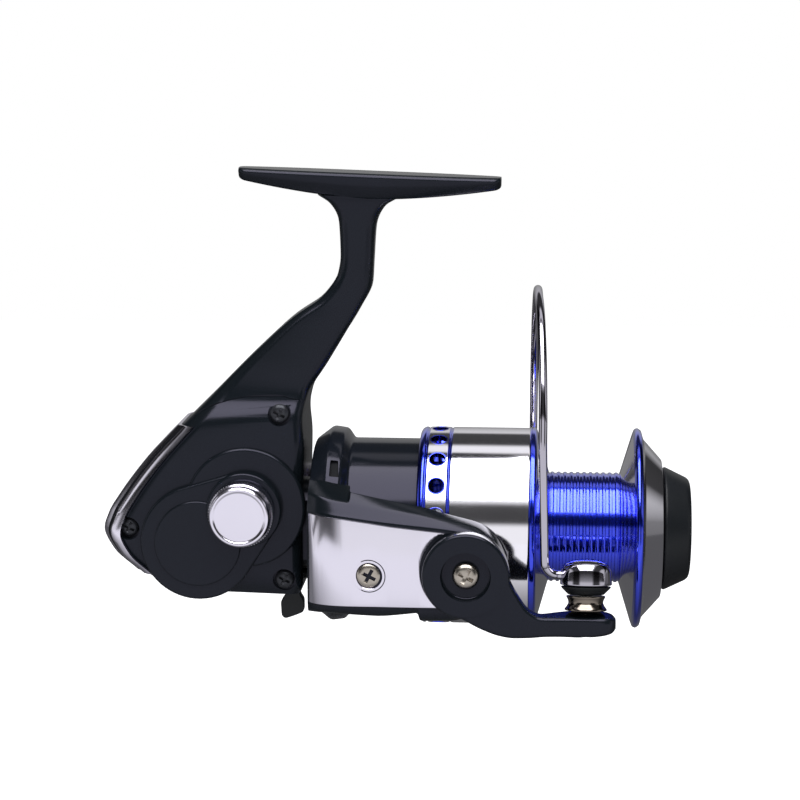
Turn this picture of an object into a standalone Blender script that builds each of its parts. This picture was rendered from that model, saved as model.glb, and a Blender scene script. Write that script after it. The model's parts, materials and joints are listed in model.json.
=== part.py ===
"""Open-face spinning reel, fixed spool, built as separate working pieces.

Frame: metres, +Z up. The origin is the middle of the seat face on top of the
reel foot. +X points forward along the spool axis, towards the drag knob, and
the crank handle is on the +Y side. Every size below is in millimetres.
"""

import math

import bmesh
import bpy
from mathutils import Matrix, Vector

MM = 0.001
SEAT_GAP = 0.3          # between faces that rest on each other
RUNNING_GAP = 0.25      # round a shaft in its bore

# Foot and stem
FOOT_LENGTH = 67.0
FOOT_WIDTH = 13.6
FOOT_END_WIDTH = 8.0
FOOT_TILT = 2.0         # degrees, seat lower at the toe
FOOT_TIP_THICKNESS = 3.0
FOOT_EDGE = 0.8         # slope between the seat face and the foot's sides
FOOT_ROOT_THICKNESS = 6.6
STEM_X = -3.2           # middle of the stem
STEM_DEPTH = 8.6        # along X
STEM_WIDTH = 8.4        # across Y
AXIS_DROP = 92.0        # spool axis below the seat

# Body case
CASE_HALF_WIDTH = 13.0
CASE_FRONT_X = -17.0
CASE_WALL = 2.4
COVER_PLANE = -9.0      # the side cover meets the case here
GUARD_THICKNESS = 1.0
COVER_BOSS_RADIUS = 15.6
COVER_BOSS_FACE = -14.2
LOBE_RADIUS = 15.0
LOBE_FACE = -15.2
LOBE_DISC_RADIUS = 11.2
COLLAR_RADIUS = 9.7
COLLAR_FACE = -17.2
FAR_BOSS_FACE = 16.0
NOSE_RADIUS = 12.0
NOSE_FACE_X = -12.6

# Gear train
CRANK_X = -31.2
CRANK_RISE = 6.8        # crank axis above the spool axis
CRANK_SHAFT_RADIUS = 2.6
DRIVE_TEETH = 46
PINION_TEETH = 9
DRIVE_GEAR_RADIUS = 12.6
DRIVE_TOOTH_INNER = 8.2
DRIVE_TOOTH_HEIGHT = 1.2
DRIVE_WEB = 2.6
PINION_TIP_RADIUS = 3.6
PINION_ROOT_RADIUS = 2.9
PINION_SLEEVE_RADIUS = 3.4
SHAFT_RADIUS = 2.0
OSC_X = -43.5
OSC_RISE = -2.5         # oscillation gear axis against the spool axis
OSC_MODULE = 0.7
OSC_DRIVER_TEETH = 14
OSC_GEAR_TEETH = 30
OSC_GEAR_THICKNESS = 2.8
OSC_GEAR_BACK = -9.6
STROKE = 14.0           # travel of the spool along its axis
BEARING_OUTER = 8.0
BEARING_WIDTH = 5.0
CRANK_BEARING_OUTER = 5.4
CRANK_BEARING_WIDTH = 3.6

# Anti-reverse: ratchet behind the rotor, pawl beside it, lever under the case
RATCHET_WIDTH = 2.2
RATCHET_RADIUS = 7.0
RATCHET_TEETH = 10
PAWL_SIDE = 9.4         # pawl pivot from the spool axis
PAWL_RISE = -6.2
PAWL_RADIUS = 1.3
LEVER_RISE = -13.9
LEVER_SHAFT_RADIUS = 1.4
LEVER_REAR_X = -23.4
LEVER_TAB_LENGTH = 4.6
LEVER_SLOT = 7.6

# Side cover screws: (x, height above the spool axis)
SCREW_PLACES = ((-22.4, 31.0), (-62.0, 0.5), (-21.5, -12.6))
SCREW_RADIUS = 1.25
SCREW_HEAD_RADIUS = 2.5
SCREW_HEAD_HEIGHT = 1.4
SCREW_HEAD_Y = -10.4

# Oscillation
OSC_AXLE_RADIUS = 1.8
OSC_PIN_RADIUS = 1.1
SLIDER_NEAR_Y = -5.0
SLIDER_HALF = 2.3

# Spool
SKIRT_REAR_X = 13.3
SKIRT_FRONT_X = 41.6
SKIRT_RADIUS = 25.6
SKIRT_WALL = 1.5
BAND_REAR_X = 15.3      # drilled band, between two turned rings
BAND_FRONT_X = 21.3
VENT_HOLES = 20
VENT_RADIUS = 2.1
REAR_RING_X = 43.4
CORE_RADIUS = 14.3
CORE_REAR_X = 46.6
CORE_FRONT_X = 64.8
CORE_RIBS = 11
RIB_DEPTH = 0.35
CONE_FRONT_X = 68.0
LIP_RADIUS = 26.0
LIP_FRONT_X = 70.8
DISH_FRONT_X = 75.6
DISH_RADIUS = 17.8
DRAG_POCKET_RADIUS = 11.5
SPRING_WIRE_RADIUS = 0.3
KNOB_REAR_X = 75.9
KNOB_FRONT_X = 83.0
KNOB_REAR_RADIUS = 16.0
KNOB_FRONT_RADIUS = 12.6

# Rotor and bail
ROTOR_REAR_X = -14.2
ROTOR_FLANGE_X = -4.4
ROTOR_FRONT_X = 17.0
ROTOR_WALL = 2.2
ARM_THICKNESS = 5.8
ARM_CLEARANCE = 1.0     # spool skirt to the inside of an arm
ARM_BLOCK_X = 15.2      # from here forward the arm is deeper, round the bail pivot
PLATE_THICKNESS = 1.0
PLATE_PROUD = 0.2       # plate face above the arm's skin
PLATE_SCREW_X = 2.3
PLATE_SCREW_RISE = -5.6
PLATE_SCREW_RADIUS = 1.2
PLATE_SCREW_HEAD = 3.0
FLANGE_POCKETS = 7      # to each side of the rotor
POCKET_PITCH = 15.5     # degrees
BAIL_PIVOT_X = 26.5
BAIL_PIVOT_RISE = -4.2
BAIL_HUB_RADIUS = 10.8
BAIL_ARM_THICKNESS = 4.4
BAIL_HUB_RECESS = 2.4
HOLDER_THICKNESS = 3.6
HOLDER_HUB_RADIUS = 7.6
PIVOT_SCREW_RADIUS = 1.7
PIVOT_HEAD_RADIUS = 3.3
PIVOT_HEAD_HEIGHT = 1.8
ROLLER_X = 56.0
ROLLER_RISE = -13.3     # top of the arm end, under the roller
ROLLER_TILT = 12.0      # degrees, top leans to the spool
ROLLER_RADIUS = 5.2
ROLLER_GROOVE_RADIUS = 4.3
CAP_RADIUS = 6.3
WIRE_RADIUS = 1.08
BAIL_APEX_RISE = 62.0
BAIL_APEX_X = 43.2
WIRE_FAR_X = BAIL_APEX_X - 1.1
WIRE_BEND = 3.6         # bend radius at both ends of the wire
WIRE_END_RISE = 1.4     # far end of the wire above the bail pivot

# Handle
CRANK_LENGTH = 55.0
CRANK_ANGLE = -20.0     # degrees, arm forward and a little down
CRANK_ARM_THICKNESS = 5.0
HANDLE_KNOB_LENGTH = 27.0
HANDLE_KNOB_RADIUS = 10.0
HANDLE_PIN_RADIUS = 2.5
CAP_FACE_Y = -25.0
CAP_FACE_RADIUS = 7.8
CAP_SOCKET = 4.6        # depth of the shaft end in the near-side cap

# Worked out from the sizes above
AXIS_Z = -AXIS_DROP
DRIVE_FACE_Y = PINION_TIP_RADIUS + 0.15
ARM_INNER = SKIRT_RADIUS + ARM_CLEARANCE
ARM_OUTER = ARM_INNER + ARM_THICKNESS
HUB_INNER = ARM_OUTER + SEAT_GAP
HUB_OUTER = HUB_INNER + BAIL_ARM_THICKNESS
ROLLER_Y = -(HUB_OUTER - 3.2)
CUP_RADIUS = SKIRT_RADIUS - SKIRT_WALL - 1.6
FLANGE_RADIUS = SKIRT_RADIUS
CRANK_ARM_INNER = math.hypot(HUB_OUTER, 19.6) + 1.0
CRANK_ARM_OUTER = CRANK_ARM_INNER + CRANK_ARM_THICKNESS
BEARING_SEAT_X = NOSE_FACE_X - BEARING_WIDTH - SEAT_GAP
NUT_REAR_X = ROTOR_FRONT_X + SEAT_GAP
NUT_FRONT_X = NUT_REAR_X + 3.0
RATCHET_X = NOSE_FACE_X + 1.7
CAP_BACK_Y = COLLAR_FACE - 0.4
CRANK_HUB_INNER = FAR_BOSS_FACE + 0.6
CRANK_HUB_OUTER = CRANK_HUB_INNER + 9.0
SHAFT_BORE = SHAFT_RADIUS + RUNNING_GAP
CRANK_BORE = CRANK_SHAFT_RADIUS + RUNNING_GAP
SLEEVE_BORE = PINION_SLEEVE_RADIUS + RUNNING_GAP
SPOOL_HUB_REAR = REAR_RING_X - 3.4
DRAG_STACK_X = CORE_FRONT_X - 6.0
FAR_WIRE_Y = HUB_INNER + 2.2
OSC_TIP_RADIUS = OSC_MODULE * (OSC_GEAR_TEETH / 2 + 0.55)
CASE_CLEARANCE = 1.2    # drive gear to the case wall

SEGMENTS = 20

PARTS = "spinning_reel"
CUTTERS = "cutters"
# Pieces whose many coaxial cuts the exact solver leaves open
MANY_CUTS = ("body_housing", "side_cover", "bail_arm", "pinion_gear", "arm_plate_near",
             "arm_plate_far", "crank_arm")

BLACK = (0.011, 0.014, 0.016)
SATIN_BLACK = (0.008, 0.010, 0.011)
SILVER = (0.72, 0.71, 0.76)
CHROME = (0.80, 0.80, 0.82)
NICKEL = (0.55, 0.50, 0.45)
STEEL = (0.50, 0.51, 0.53)
BRASS = (0.62, 0.44, 0.16)
ZINC = (0.42, 0.42, 0.43)
BLUE = (0.004, 0.035, 0.66)
FELT = (0.30, 0.24, 0.16)
RUBBER = (0.012, 0.012, 0.013)


# ---------------------------------------------------------------- scene tools

def clear_scene():
    for item in list(bpy.data.objects):
        bpy.data.objects.remove(item, do_unlink=True)


def collection(name):
    found = bpy.data.collections.get(name)
    if found is None:
        found = bpy.data.collections.new(name)
        bpy.context.scene.collection.children.link(found)
    return found


def finish_material(name, colour, roughness, metallic):
    material = bpy.data.materials.new(name)
    material.use_nodes = True
    shader = material.node_tree.nodes["Principled BSDF"]
    shader.inputs["Base Color"].default_value = (*colour, 1.0)
    shader.inputs["Roughness"].default_value = roughness
    shader.inputs["Metallic"].default_value = metallic
    material.diffuse_color = (*colour, 1.0)
    return material


def axis_empty(name, x=0.0, y=0.0, z=0.0, turn=None):
    """A joint's axis: an empty that its pieces are parented to."""
    empty = bpy.data.objects.new(name, None)
    empty.empty_display_size = 5 * MM
    placed = Matrix.Translation(Vector((x, y, z)) * MM)
    empty.matrix_world = placed @ turn if turn else placed
    collection(PARTS).objects.link(empty)
    bpy.context.view_layer.update()
    return empty


ALONG_X = Matrix.Rotation(math.radians(90), 4, "Y")     # local Z to world X
ALONG_Y = Matrix.Rotation(math.radians(-90), 4, "X")    # local Z to world Y


def place(item, parent=None, finish=None, group=PARTS):
    """Link an object, parent it to its axis and give it its material."""
    collection(group).objects.link(item)
    item.parent = parent
    if finish:
        item.data.materials.append(finish_material(item.name, *finish))
    if group == CUTTERS:
        item.hide_render = True
        item.display_type = "WIRE"
    return item


def from_bmesh(name, bm):
    mesh = bpy.data.meshes.new(name)
    bm.to_mesh(mesh)
    bm.free()
    return bpy.data.objects.new(name, mesh)


def face_outward(bm):
    """Turn every face of a closed mesh outwards."""
    bmesh.ops.recalc_face_normals(bm, faces=bm.faces)
    if bm.calc_volume(signed=True) < 0:
        bmesh.ops.reverse_faces(bm, faces=bm.faces)


def baked(item):
    """The evaluated object as a plain mesh, in place of its modifiers."""
    bpy.context.view_layer.update()
    graph = bpy.context.evaluated_depsgraph_get()
    mesh = bpy.data.meshes.new_from_object(item.evaluated_get(graph))
    matrix = item.matrix_world.copy()
    name = item.name
    bpy.data.objects.remove(item, do_unlink=True)
    bm = bmesh.new()
    bm.from_mesh(mesh)
    bmesh.ops.remove_doubles(bm, verts=bm.verts, dist=1e-6)
    bmesh.ops.transform(bm, matrix=matrix, verts=bm.verts)
    face_outward(bm)
    return from_bmesh(name, bm)


def combine(item, other, operation):
    """Boolean modifier: the other object is kept as a hidden cutter."""
    modifier = item.modifiers.new(operation.lower(), "BOOLEAN")
    modifier.operation = operation
    modifier.solver = "MANIFOLD" if item.name in MANY_CUTS else "EXACT"
    modifier.object = other
    if other.name not in collection(CUTTERS).objects:
        for owner in list(other.users_collection):
            owner.objects.unlink(other)
        collection(CUTTERS).objects.link(other)
        other.hide_render = True
        other.display_type = "WIRE"


def cut(item, *others):
    for other in others:
        combine(item, other, "DIFFERENCE")


def join(item, *others):
    for other in others:
        combine(item, other, "UNION")


# ---------------------------------------------------------------- basic forms

def turned(name, outline, parent, segments=SEGMENTS):
    """Outline of (station, radius) points spun round the parent's Z axis.

    An outline that starts and ends on the axis is open there, any other is
    a closed loop.
    """
    area = 0.0
    for (z0, r0), (z1, r1) in zip(outline, outline[1:] + outline[:1]):
        area += r0 * z1 - r1 * z0
    points = outline if area < 0 else outline[::-1]
    closed = not (points[0][1] == 0 and points[-1][1] == 0)
    bm = bmesh.new()
    verts = [bm.verts.new((radius * MM, 0, station * MM)) for station, radius in points]
    for first, second in zip(verts, verts[1:]):
        bm.edges.new((first, second))
    if closed:
        bm.edges.new((verts[-1], verts[0]))
    item = from_bmesh(name, bm)
    screw = item.modifiers.new("spin", "SCREW")
    screw.axis = "Z"
    screw.steps = screw.render_steps = segments
    screw.use_merge_vertices = True
    screw.merge_threshold = 1e-5
    item.parent = parent
    return item


def tube(name, start, end, radius, parent, bore=0.0, chamfer=0.0, segments=SEGMENTS):
    """A cylinder or a bush between two stations on the parent's Z axis."""
    c = chamfer
    outer = [(start, radius - c), (start + c, radius), (end - c, radius), (end, radius - c)]
    if c == 0:
        outer = [(start, radius), (end, radius)]
    inner = [(end, bore), (start, bore)]
    outline = outer + inner if bore else [(start, 0), *outer, (end, 0)]
    return turned(name, outline, parent, segments)


def prism(name, outline, start, end, parent=None):
    """A flat outline of (a, b) points extruded along the parent's Z axis."""
    bm = bmesh.new()
    verts = [bm.verts.new((a * MM, b * MM, start * MM)) for a, b in outline]
    face = bm.faces.new(verts)
    moved = bmesh.ops.extrude_face_region(bm, geom=[face])
    lifted = [v for v in moved["geom"] if isinstance(v, bmesh.types.BMVert)]
    bmesh.ops.translate(bm, verts=lifted, vec=(0, 0, (end - start) * MM))
    face_outward(bm)
    item = from_bmesh(name, bm)
    item.parent = parent
    return item


def block(name, low, high, bevel=0.0, parent=None):
    """A box between two corners."""
    bm = bmesh.new()
    bmesh.ops.create_cube(bm, size=1.0)
    size = [(b - a) * MM for a, b in zip(low, high)]
    middle = [(a + b) / 2 * MM for a, b in zip(low, high)]
    bmesh.ops.scale(bm, vec=size, verts=bm.verts)
    bmesh.ops.translate(bm, vec=middle, verts=bm.verts)
    item = from_bmesh(name, bm)
    item.parent = parent
    if bevel:
        soften(item, bevel)
    return item


def soften(item, width, segments=1, angle=35.0):
    modifier = item.modifiers.new("edges", "BEVEL")
    modifier.width = width * MM
    modifier.segments = segments
    modifier.limit_method = "ANGLE"
    modifier.angle_limit = math.radians(angle)
    return item


def loft(name, rings, parent=None):
    """A closed skin through rings of equal point counts, capped at both ends."""
    bm = bmesh.new()
    rows = [[bm.verts.new(Vector(p) * MM) for p in ring] for ring in rings]
    count = len(rows[0])
    for low, high in zip(rows, rows[1:]):
        for i in range(count):
            j = (i + 1) % count
            bm.faces.new((low[i], low[j], high[j], high[i]))
    bm.faces.new(rows[0][::-1])
    bm.faces.new(rows[-1])
    face_outward(bm)
    item = from_bmesh(name, bm)
    item.parent = parent
    return item


def arc(cx, cy, radius, start, end, steps):
    """Points on a circle, angles in degrees, both ends included."""
    out = []
    for i in range(steps + 1):
        angle = math.radians(start + (end - start) * i / steps)
        out.append((cx + radius * math.cos(angle), cy + radius * math.sin(angle)))
    return out


def belt(c1, r1, c2, r2, steps=10):
    """Outline round two circles and their outer tangents."""
    dx, dy = c2[0] - c1[0], c2[1] - c1[1]
    heading = math.degrees(math.atan2(dy, dx))
    side = math.degrees(math.acos((r1 - r2) / math.hypot(dx, dy)))
    first = arc(*c1, r1, heading + side, heading + 360 - side, steps)
    second = arc(*c2, r2, heading - side, heading + side, steps)
    return first + second


def gear_outline(teeth, root, tip, phase=0.0, root_share=0.5, tip_share=0.26):
    """Trapezoid teeth; the shares are of one pitch. Phase 0 puts a tooth on +X."""
    points = []
    pitch = 2 * math.pi / teeth
    for i in range(teeth):
        middle = math.radians(phase) + i * pitch
        for radius, share in ((root, -root_share), (tip, -tip_share),
                              (tip, tip_share), (root, root_share)):
            angle = middle + share * pitch / 2
            points.append((radius * math.cos(angle), radius * math.sin(angle)))
    return points


# ---------------------------------------------------------------- body case

def case_sections():
    """Cross-sections from the foot down the stem and leg to the case bottom.

    Each is (rear x, rear z, front x, front z, half width, rear round,
    front round). The first group hangs from the foot, the second group is
    set out from the spool axis.
    """
    rear = STEM_X - STEM_DEPTH / 2
    front = STEM_X + STEM_DEPTH / 2
    half = STEM_WIDTH / 2
    stem = [
        (rear - 5.6, -5.6, front + 6.6, -6.2, half + 0.8, 2.0, 2.0),
        (rear - 2.4, -8.0, front + 3.0, -8.4, half + 0.3, 2.4, 2.4),
        (rear - 0.4, -12.4, front + 0.6, -13.2, half, 2.8, 2.8),
        (rear, -21.0, front, -21.5, half, 2.8, 2.8),
        (rear - 0.6, -25.5, front - 0.4, -28.0, half, 2.8, 2.8),
    ]
    leg = [
        (-12.0, 60.6, -2.6, 57.0, 4.8, 2.6, 2.6),
        (-19.5, 55.2, -6.2, 51.0, 5.8, 2.6, 2.6),
        (-30.3, 45.3, -11.6, 42.0, 8.0, 3.0, 3.0),
        (-40.5, 35.0, -15.6, 35.5, 10.6, 4.5, 3.0),
        (-48.2, 27.3, CASE_FRONT_X + 0.2, 29.5, 12.2, 6.0, 3.0),
        (-56.2, 18.9, CASE_FRONT_X + 0.6, 22.5, 13.0, 7.0, 3.0),
        (-63.6, 9.2, CASE_FRONT_X + 0.3, 12.0, 13.0, 7.0, 3.0),
        (-67.0, 3.6, CASE_FRONT_X, 4.0, 13.0, 7.0, 3.0),
        (-68.3, -0.8, CASE_FRONT_X, -3.0, 13.0, 7.0, 3.0),
        (-66.0, -6.0, CASE_FRONT_X, -9.0, 12.8, 7.0, 3.0),
        (-60.0, -11.6, CASE_FRONT_X, -14.0, 12.0, 6.5, 3.0),
        (-52.0, -16.2, CASE_FRONT_X - 0.8, -17.0, 10.4, 6.0, 3.0),
    ]
    k = CASE_HALF_WIDTH / 13.0
    below = [(a, b + AXIS_Z, c, d + AXIS_Z, h * k, r, f) for a, b, c, d, h, r, f in leg]
    return stem, below


def section_ring(section, inset=0.0, steps=3):
    """Rounded rectangle in the plane of Y and the line from rear to front."""
    rear_x, rear_z, front_x, front_z, half, rear_round, front_round = section
    rear, front = Vector((rear_x, 0, rear_z)), Vector((front_x, 0, front_z))
    along = (front - rear).normalized()
    a = (front - rear).length / 2 - inset
    b = half - inset
    middle = (rear + front) / 2
    corners = ((-1, -1, rear_round, 180), (1, -1, front_round, 270),
               (1, 1, front_round, 0), (-1, 1, rear_round, 90))
    ring = []
    for side, flank, radius, start in corners:
        r = max(min(radius - inset, b - 0.2), 0.6)
        for s, t in arc(side * (a - r), flank * (b - r), r, start, start + 90, steps):
            ring.append(middle + along * s + Vector((0, t, 0)))
    return ring


def foot_form():
    """The tapered foot: flat seat on top, thicker over the stem."""
    slope = math.tan(math.radians(FOOT_TILT))
    half_length = FOOT_LENGTH / 2
    rings = []
    for share in (-1.0, -0.985, -0.93, -0.75, -0.45, -0.25, 0.0, 0.25, 0.5, 0.75, 0.93, 0.985, 1.0):
        x = share * half_length
        swell = max(0.0, 1.0 - abs(share) ** 1.6)
        half = FOOT_END_WIDTH / 2 + (FOOT_WIDTH - FOOT_END_WIDTH) / 2 * (1 - abs(share) ** 3)
        thick = FOOT_TIP_THICKNESS + (FOOT_ROOT_THICKNESS - FOOT_TIP_THICKNESS) * swell
        if abs(share) > 0.95:
            end = (1.0 - abs(share)) / 0.05
            half *= 0.62 + 0.38 * math.sqrt(end)
            thick *= 0.72 + 0.28 * math.sqrt(end)
        top = -slope * x
        side = 0.45 * thick
        seat = half - FOOT_EDGE
        rings.append([(x, -seat, top), (x, seat, top), (x, half + 0.25, top - FOOT_EDGE),
                      (x, half, top - side), (x, half * 0.72, top - thick),
                      (x, -half * 0.72, top - thick), (x, -half, top - side),
                      (x, -half - 0.25, top - FOOT_EDGE)])
    return loft("foot", rings)


def cavity_form():
    """The hollow inside the case, a wall in from its skin."""
    below = case_sections()[1]
    floor = tuple(a + 0.35 * (b - a) for a, b in zip(below[10], below[11]))
    rings = [section_ring(s, CASE_WALL) for s in (*below[5:11], floor)]
    hollow = loft("case_hollow", rings)
    crank = bpy.data.objects["crank_axis"]
    well_radius = DRIVE_GEAR_RADIUS + CASE_CLEARANCE / 2
    well = tube("gear_well", -1.0, CASE_HALF_WIDTH - CASE_WALL, well_radius, crank)
    collection(CUTTERS).objects.link(hollow)
    join(hollow, well)
    return baked(hollow)


def seam_outline():
    """Side view of the side cover's edge, a little outside the case."""
    points = [(-46.5, 29.5), (-40.0, 33.0), (-32.0, 35.2), (-22.5, 35.8), (-19.2, 34.6),
              (-12.0, 34.0), (-12.0, -24.0), (-80.0, -24.0), (-80.0, 14.0), (-53.0, 22.6)]
    return [(x, AXIS_Z + up) for x, up in points]


def side_prism(name, outline, start, end):
    """An outline of (x, z) points extruded across Y, as a plain mesh."""
    item = prism(name, [(x, -z) for x, z in outline], start, end)
    item.matrix_world = ALONG_Y
    collection(CUTTERS).objects.link(item)
    return baked(item)


def body_housing(crank, osc, spool, lever, screws):
    stem, below = case_sections()
    housing = loft("body_housing", [section_ring(s) for s in stem + below])
    place(housing, finish=(BLACK, 0.25, 0.0))
    cover_room = side_prism("cover_room", seam_outline(), COVER_PLANE, -40.0)
    far_boss = tube("far_boss", CASE_HALF_WIDTH - 3.0, FAR_BOSS_FACE, COLLAR_RADIUS, crank)
    far_disc = tube("far_disc", CASE_HALF_WIDTH - 3.0, -COVER_BOSS_FACE, COVER_BOSS_RADIUS, crank)
    nose = tube("nose", CASE_FRONT_X - 2.0, NOSE_FACE_X, NOSE_RADIUS, spool)
    join(housing, foot_form(), nose, far_disc, far_boss)
    cut(housing, cover_room, cavity_form())
    bearing_seat = tube("bearing_seat", NOSE_FACE_X - BEARING_WIDTH - 0.6, NOSE_FACE_X + 1.0,
                        BEARING_OUTER + SEAT_GAP, spool)
    pinion_way = tube("pinion_way", CASE_FRONT_X - 8.0, NOSE_FACE_X, 5.0, spool)
    far_seat = tube("far_seat", CASE_HALF_WIDTH - CASE_WALL - 1.0,
                    CASE_HALF_WIDTH - CASE_WALL + CRANK_BEARING_WIDTH + 0.4,
                    CRANK_BEARING_OUTER + SEAT_GAP, crank)
    shaft_way = tube("shaft_way", CASE_HALF_WIDTH - 4.0, FAR_BOSS_FACE + 2.0,
                     CRANK_BORE, crank)
    gear_room = tube("osc_gear_room", COVER_PLANE - 1.0, OSC_GEAR_BACK + OSC_GEAR_THICKNESS + 0.4,
                     OSC_TIP_RADIUS + 0.6, osc)
    cut(housing, bearing_seat, pinion_way, far_seat, shaft_way, gear_room)
    lever_way = tube("lever_way", LEVER_REAR_X - 0.5, CASE_FRONT_X + 1.0,
                     LEVER_SHAFT_RADIUS + RUNNING_GAP, lever, segments=12)
    lever_slot = block("lever_slot", (LEVER_REAR_X - 0.5, -LEVER_SLOT / 2, AXIS_Z - 30.0),
                       (LEVER_REAR_X + LEVER_TAB_LENGTH + 0.5, LEVER_SLOT / 2,
                        AXIS_Z + LEVER_RISE))
    cut(housing, lever_way, lever_slot)
    for index, axis in enumerate(screws):
        cut(housing, tube("screw_way_%d" % index, COVER_PLANE - 1.0, COVER_PLANE + 9.0,
                          SCREW_RADIUS + RUNNING_GAP, axis, segments=10))


def side_cover(crank, osc, screws):
    """The cover moulding: same skin as the case, with the two round bosses."""
    stem, below = case_sections()
    cover = loft("side_cover", [section_ring(s) for s in stem[3:] + below])
    place(cover, finish=(BLACK, 0.25, 0.0))
    keep = side_prism("cover_keep", shrunk(seam_outline(), 0.25), COVER_PLANE - SEAT_GAP, -40.0)
    combine(cover, keep, "INTERSECT")
    boss = tube("boss", COVER_BOSS_FACE, COVER_PLANE - 2.6, COVER_BOSS_RADIUS, crank,
                chamfer=0.8)
    lobe_outline = belt((OSC_X, AXIS_Z + OSC_RISE), LOBE_RADIUS,
                        (CRANK_X, AXIS_Z + CRANK_RISE), COLLAR_RADIUS, 12)
    lobe = side_prism("lobe", lobe_outline, COVER_PLANE - 2.6, LOBE_FACE)
    collar = tube("collar", COLLAR_FACE, COVER_PLANE - 2.6, COLLAR_RADIUS, crank, chamfer=0.6)
    disc = tube("lobe_disc", LOBE_FACE - 0.7, COVER_PLANE - 3.0, LOBE_DISC_RADIUS, osc,
                chamfer=0.5)
    join(cover, boss, lobe, collar, disc)
    osc_well = tube("osc_well", LOBE_FACE + CASE_WALL, 0.0, OSC_TIP_RADIUS + 0.8, osc)
    seat = tube("near_seat", -CASE_HALF_WIDTH + CASE_WALL - CRANK_BEARING_WIDTH - 0.4, 0.0,
                CRANK_BEARING_OUTER + SEAT_GAP, crank)
    way = tube("near_way", -30.0, 0.0, CRANK_BORE, crank)
    cut(cover, cavity_form(), osc_well, seat, way)
    for index, axis in enumerate(screws):
        hole = tube("cover_hole_%d" % index, -40.0, 0.0, SCREW_RADIUS + RUNNING_GAP, axis,
                    segments=10)
        recess = tube("cover_recess_%d" % index, -40.0, SCREW_HEAD_Y, SCREW_HEAD_RADIUS + 0.5,
                      axis, segments=12)
        cut(cover, hole, recess)


def shrunk(outline, amount):
    """The outline moved towards its middle by about the amount given."""
    cx = sum(p[0] for p in outline) / len(outline)
    cy = sum(p[1] for p in outline) / len(outline)
    out = []
    for x, y in outline:
        away = math.hypot(x - cx, y - cy)
        out.append((cx + (x - cx) * (1 - amount / away), cy + (y - cy) * (1 - amount / away)))
    return out


def rear_guard():
    """Bright strip that wraps the rear edge of the case."""
    below = case_sections()[1]
    rings = []
    for section in below[4:11]:
        outer = section_ring(section, -(SEAT_GAP + GUARD_THICKNESS), 3)
        inner = section_ring(section, -SEAT_GAP, 3)
        count = len(outer)
        rear = [*range(count - 3, count), *range(3)]
        rings.append([outer[i] for i in rear] + [inner[i] for i in reversed(rear)])
    place(loft("rear_guard", rings), finish=(SILVER, 0.2, 1.0))


def cross_slot(name, radius, face, depth, empty, width=0.9):
    """Cutter for a cross recess in a screw head facing the axis' low end."""
    first = block(name + "_a", (-radius, -width / 2, face - 1.0),
                  (radius, width / 2, face + depth), parent=empty)
    second = block(name + "_b", (-width / 2, -radius, face - 1.0),
                   (width / 2, radius, face + depth), parent=empty)
    return first, second


def pan_screw(name, empty, face, head_radius, head_height, radius, length,
              finish=(STEEL, 0.3, 1.0)):
    """A pan-head screw whose head faces the low end of its axis."""
    bottom = face + head_height
    outline = [(face, 0), (face, head_radius * 0.6), (face + 0.5 * head_height, head_radius),
               (bottom, head_radius), (bottom, radius), (bottom + length, radius),
               (bottom + length, 0)]
    screw = turned(name, outline, empty, 10)
    place(screw, empty, finish)
    cut(screw, *cross_slot(name, head_radius * 0.55, face, head_height * 0.6, empty,
                           head_radius * 0.22))


def cover_screws(screws):
    for index, axis in enumerate(screws):
        pan_screw("cover_screw_%d" % (index + 1), axis,
                  SCREW_HEAD_Y - SCREW_HEAD_HEIGHT - SEAT_GAP, SCREW_HEAD_RADIUS,
                  SCREW_HEAD_HEIGHT, SCREW_RADIUS, 8.0)


# ---------------------------------------------------------------- gear train

def bearing(name, start, width, outer, bore, parent):
    groove = min(0.5, width * 0.12)
    ring = (outer - bore) / 3
    outline = [(start, outer), (start + width, outer), (start + width, outer - ring),
               (start + width - groove, outer - ring), (start + width - groove, bore + ring),
               (start + width, bore + ring), (start + width, bore), (start, bore)]
    place(turned(name, outline, parent, 16), parent, (STEEL, 0.3, 1.0))


def drive_gear(crank):
    """Face gear: radial teeth on the side that faces the pinion."""
    face = DRIVE_FACE_Y
    root = face + DRIVE_TOOTH_HEIGHT
    back = root + DRIVE_WEB
    rings = []
    for i in range(2 * DRIVE_TEETH):
        angle = math.pi * i / DRIVE_TEETH
        height = face if i % 2 == 0 else root
        ring = []
        for radius, station in ((DRIVE_TOOTH_INNER, back), (DRIVE_TOOTH_INNER, height),
                                (DRIVE_GEAR_RADIUS, height), (DRIVE_GEAR_RADIUS, back)):
            ring.append((radius * math.cos(angle), radius * math.sin(angle), station))
        rings.append(ring)
    bm = bmesh.new()
    rows = [[bm.verts.new(Vector(p) * MM) for p in ring] for ring in rings]
    for low, high in zip(rows, rows[1:] + rows[:1]):
        for i in range(4):
            j = (i + 1) % 4
            bm.faces.new((low[i], low[j], high[j], high[i]))
    face_outward(bm)
    gear = from_bmesh("drive_gear", bm)
    gear.parent = crank
    place(gear, crank, (ZINC, 0.4, 1.0))
    bore = CRANK_BORE
    hub_end = CASE_HALF_WIDTH - CASE_WALL - SEAT_GAP
    rim = DRIVE_TOOTH_INNER + 1.0
    web = turned("gear_web", [(root + 0.2, rim), (back - 0.3, rim), (back - 0.3, 4.8),
                              (hub_end, 4.8), (hub_end, bore), (root + 0.2, bore)], crank, 16)
    join(gear, web)


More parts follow.
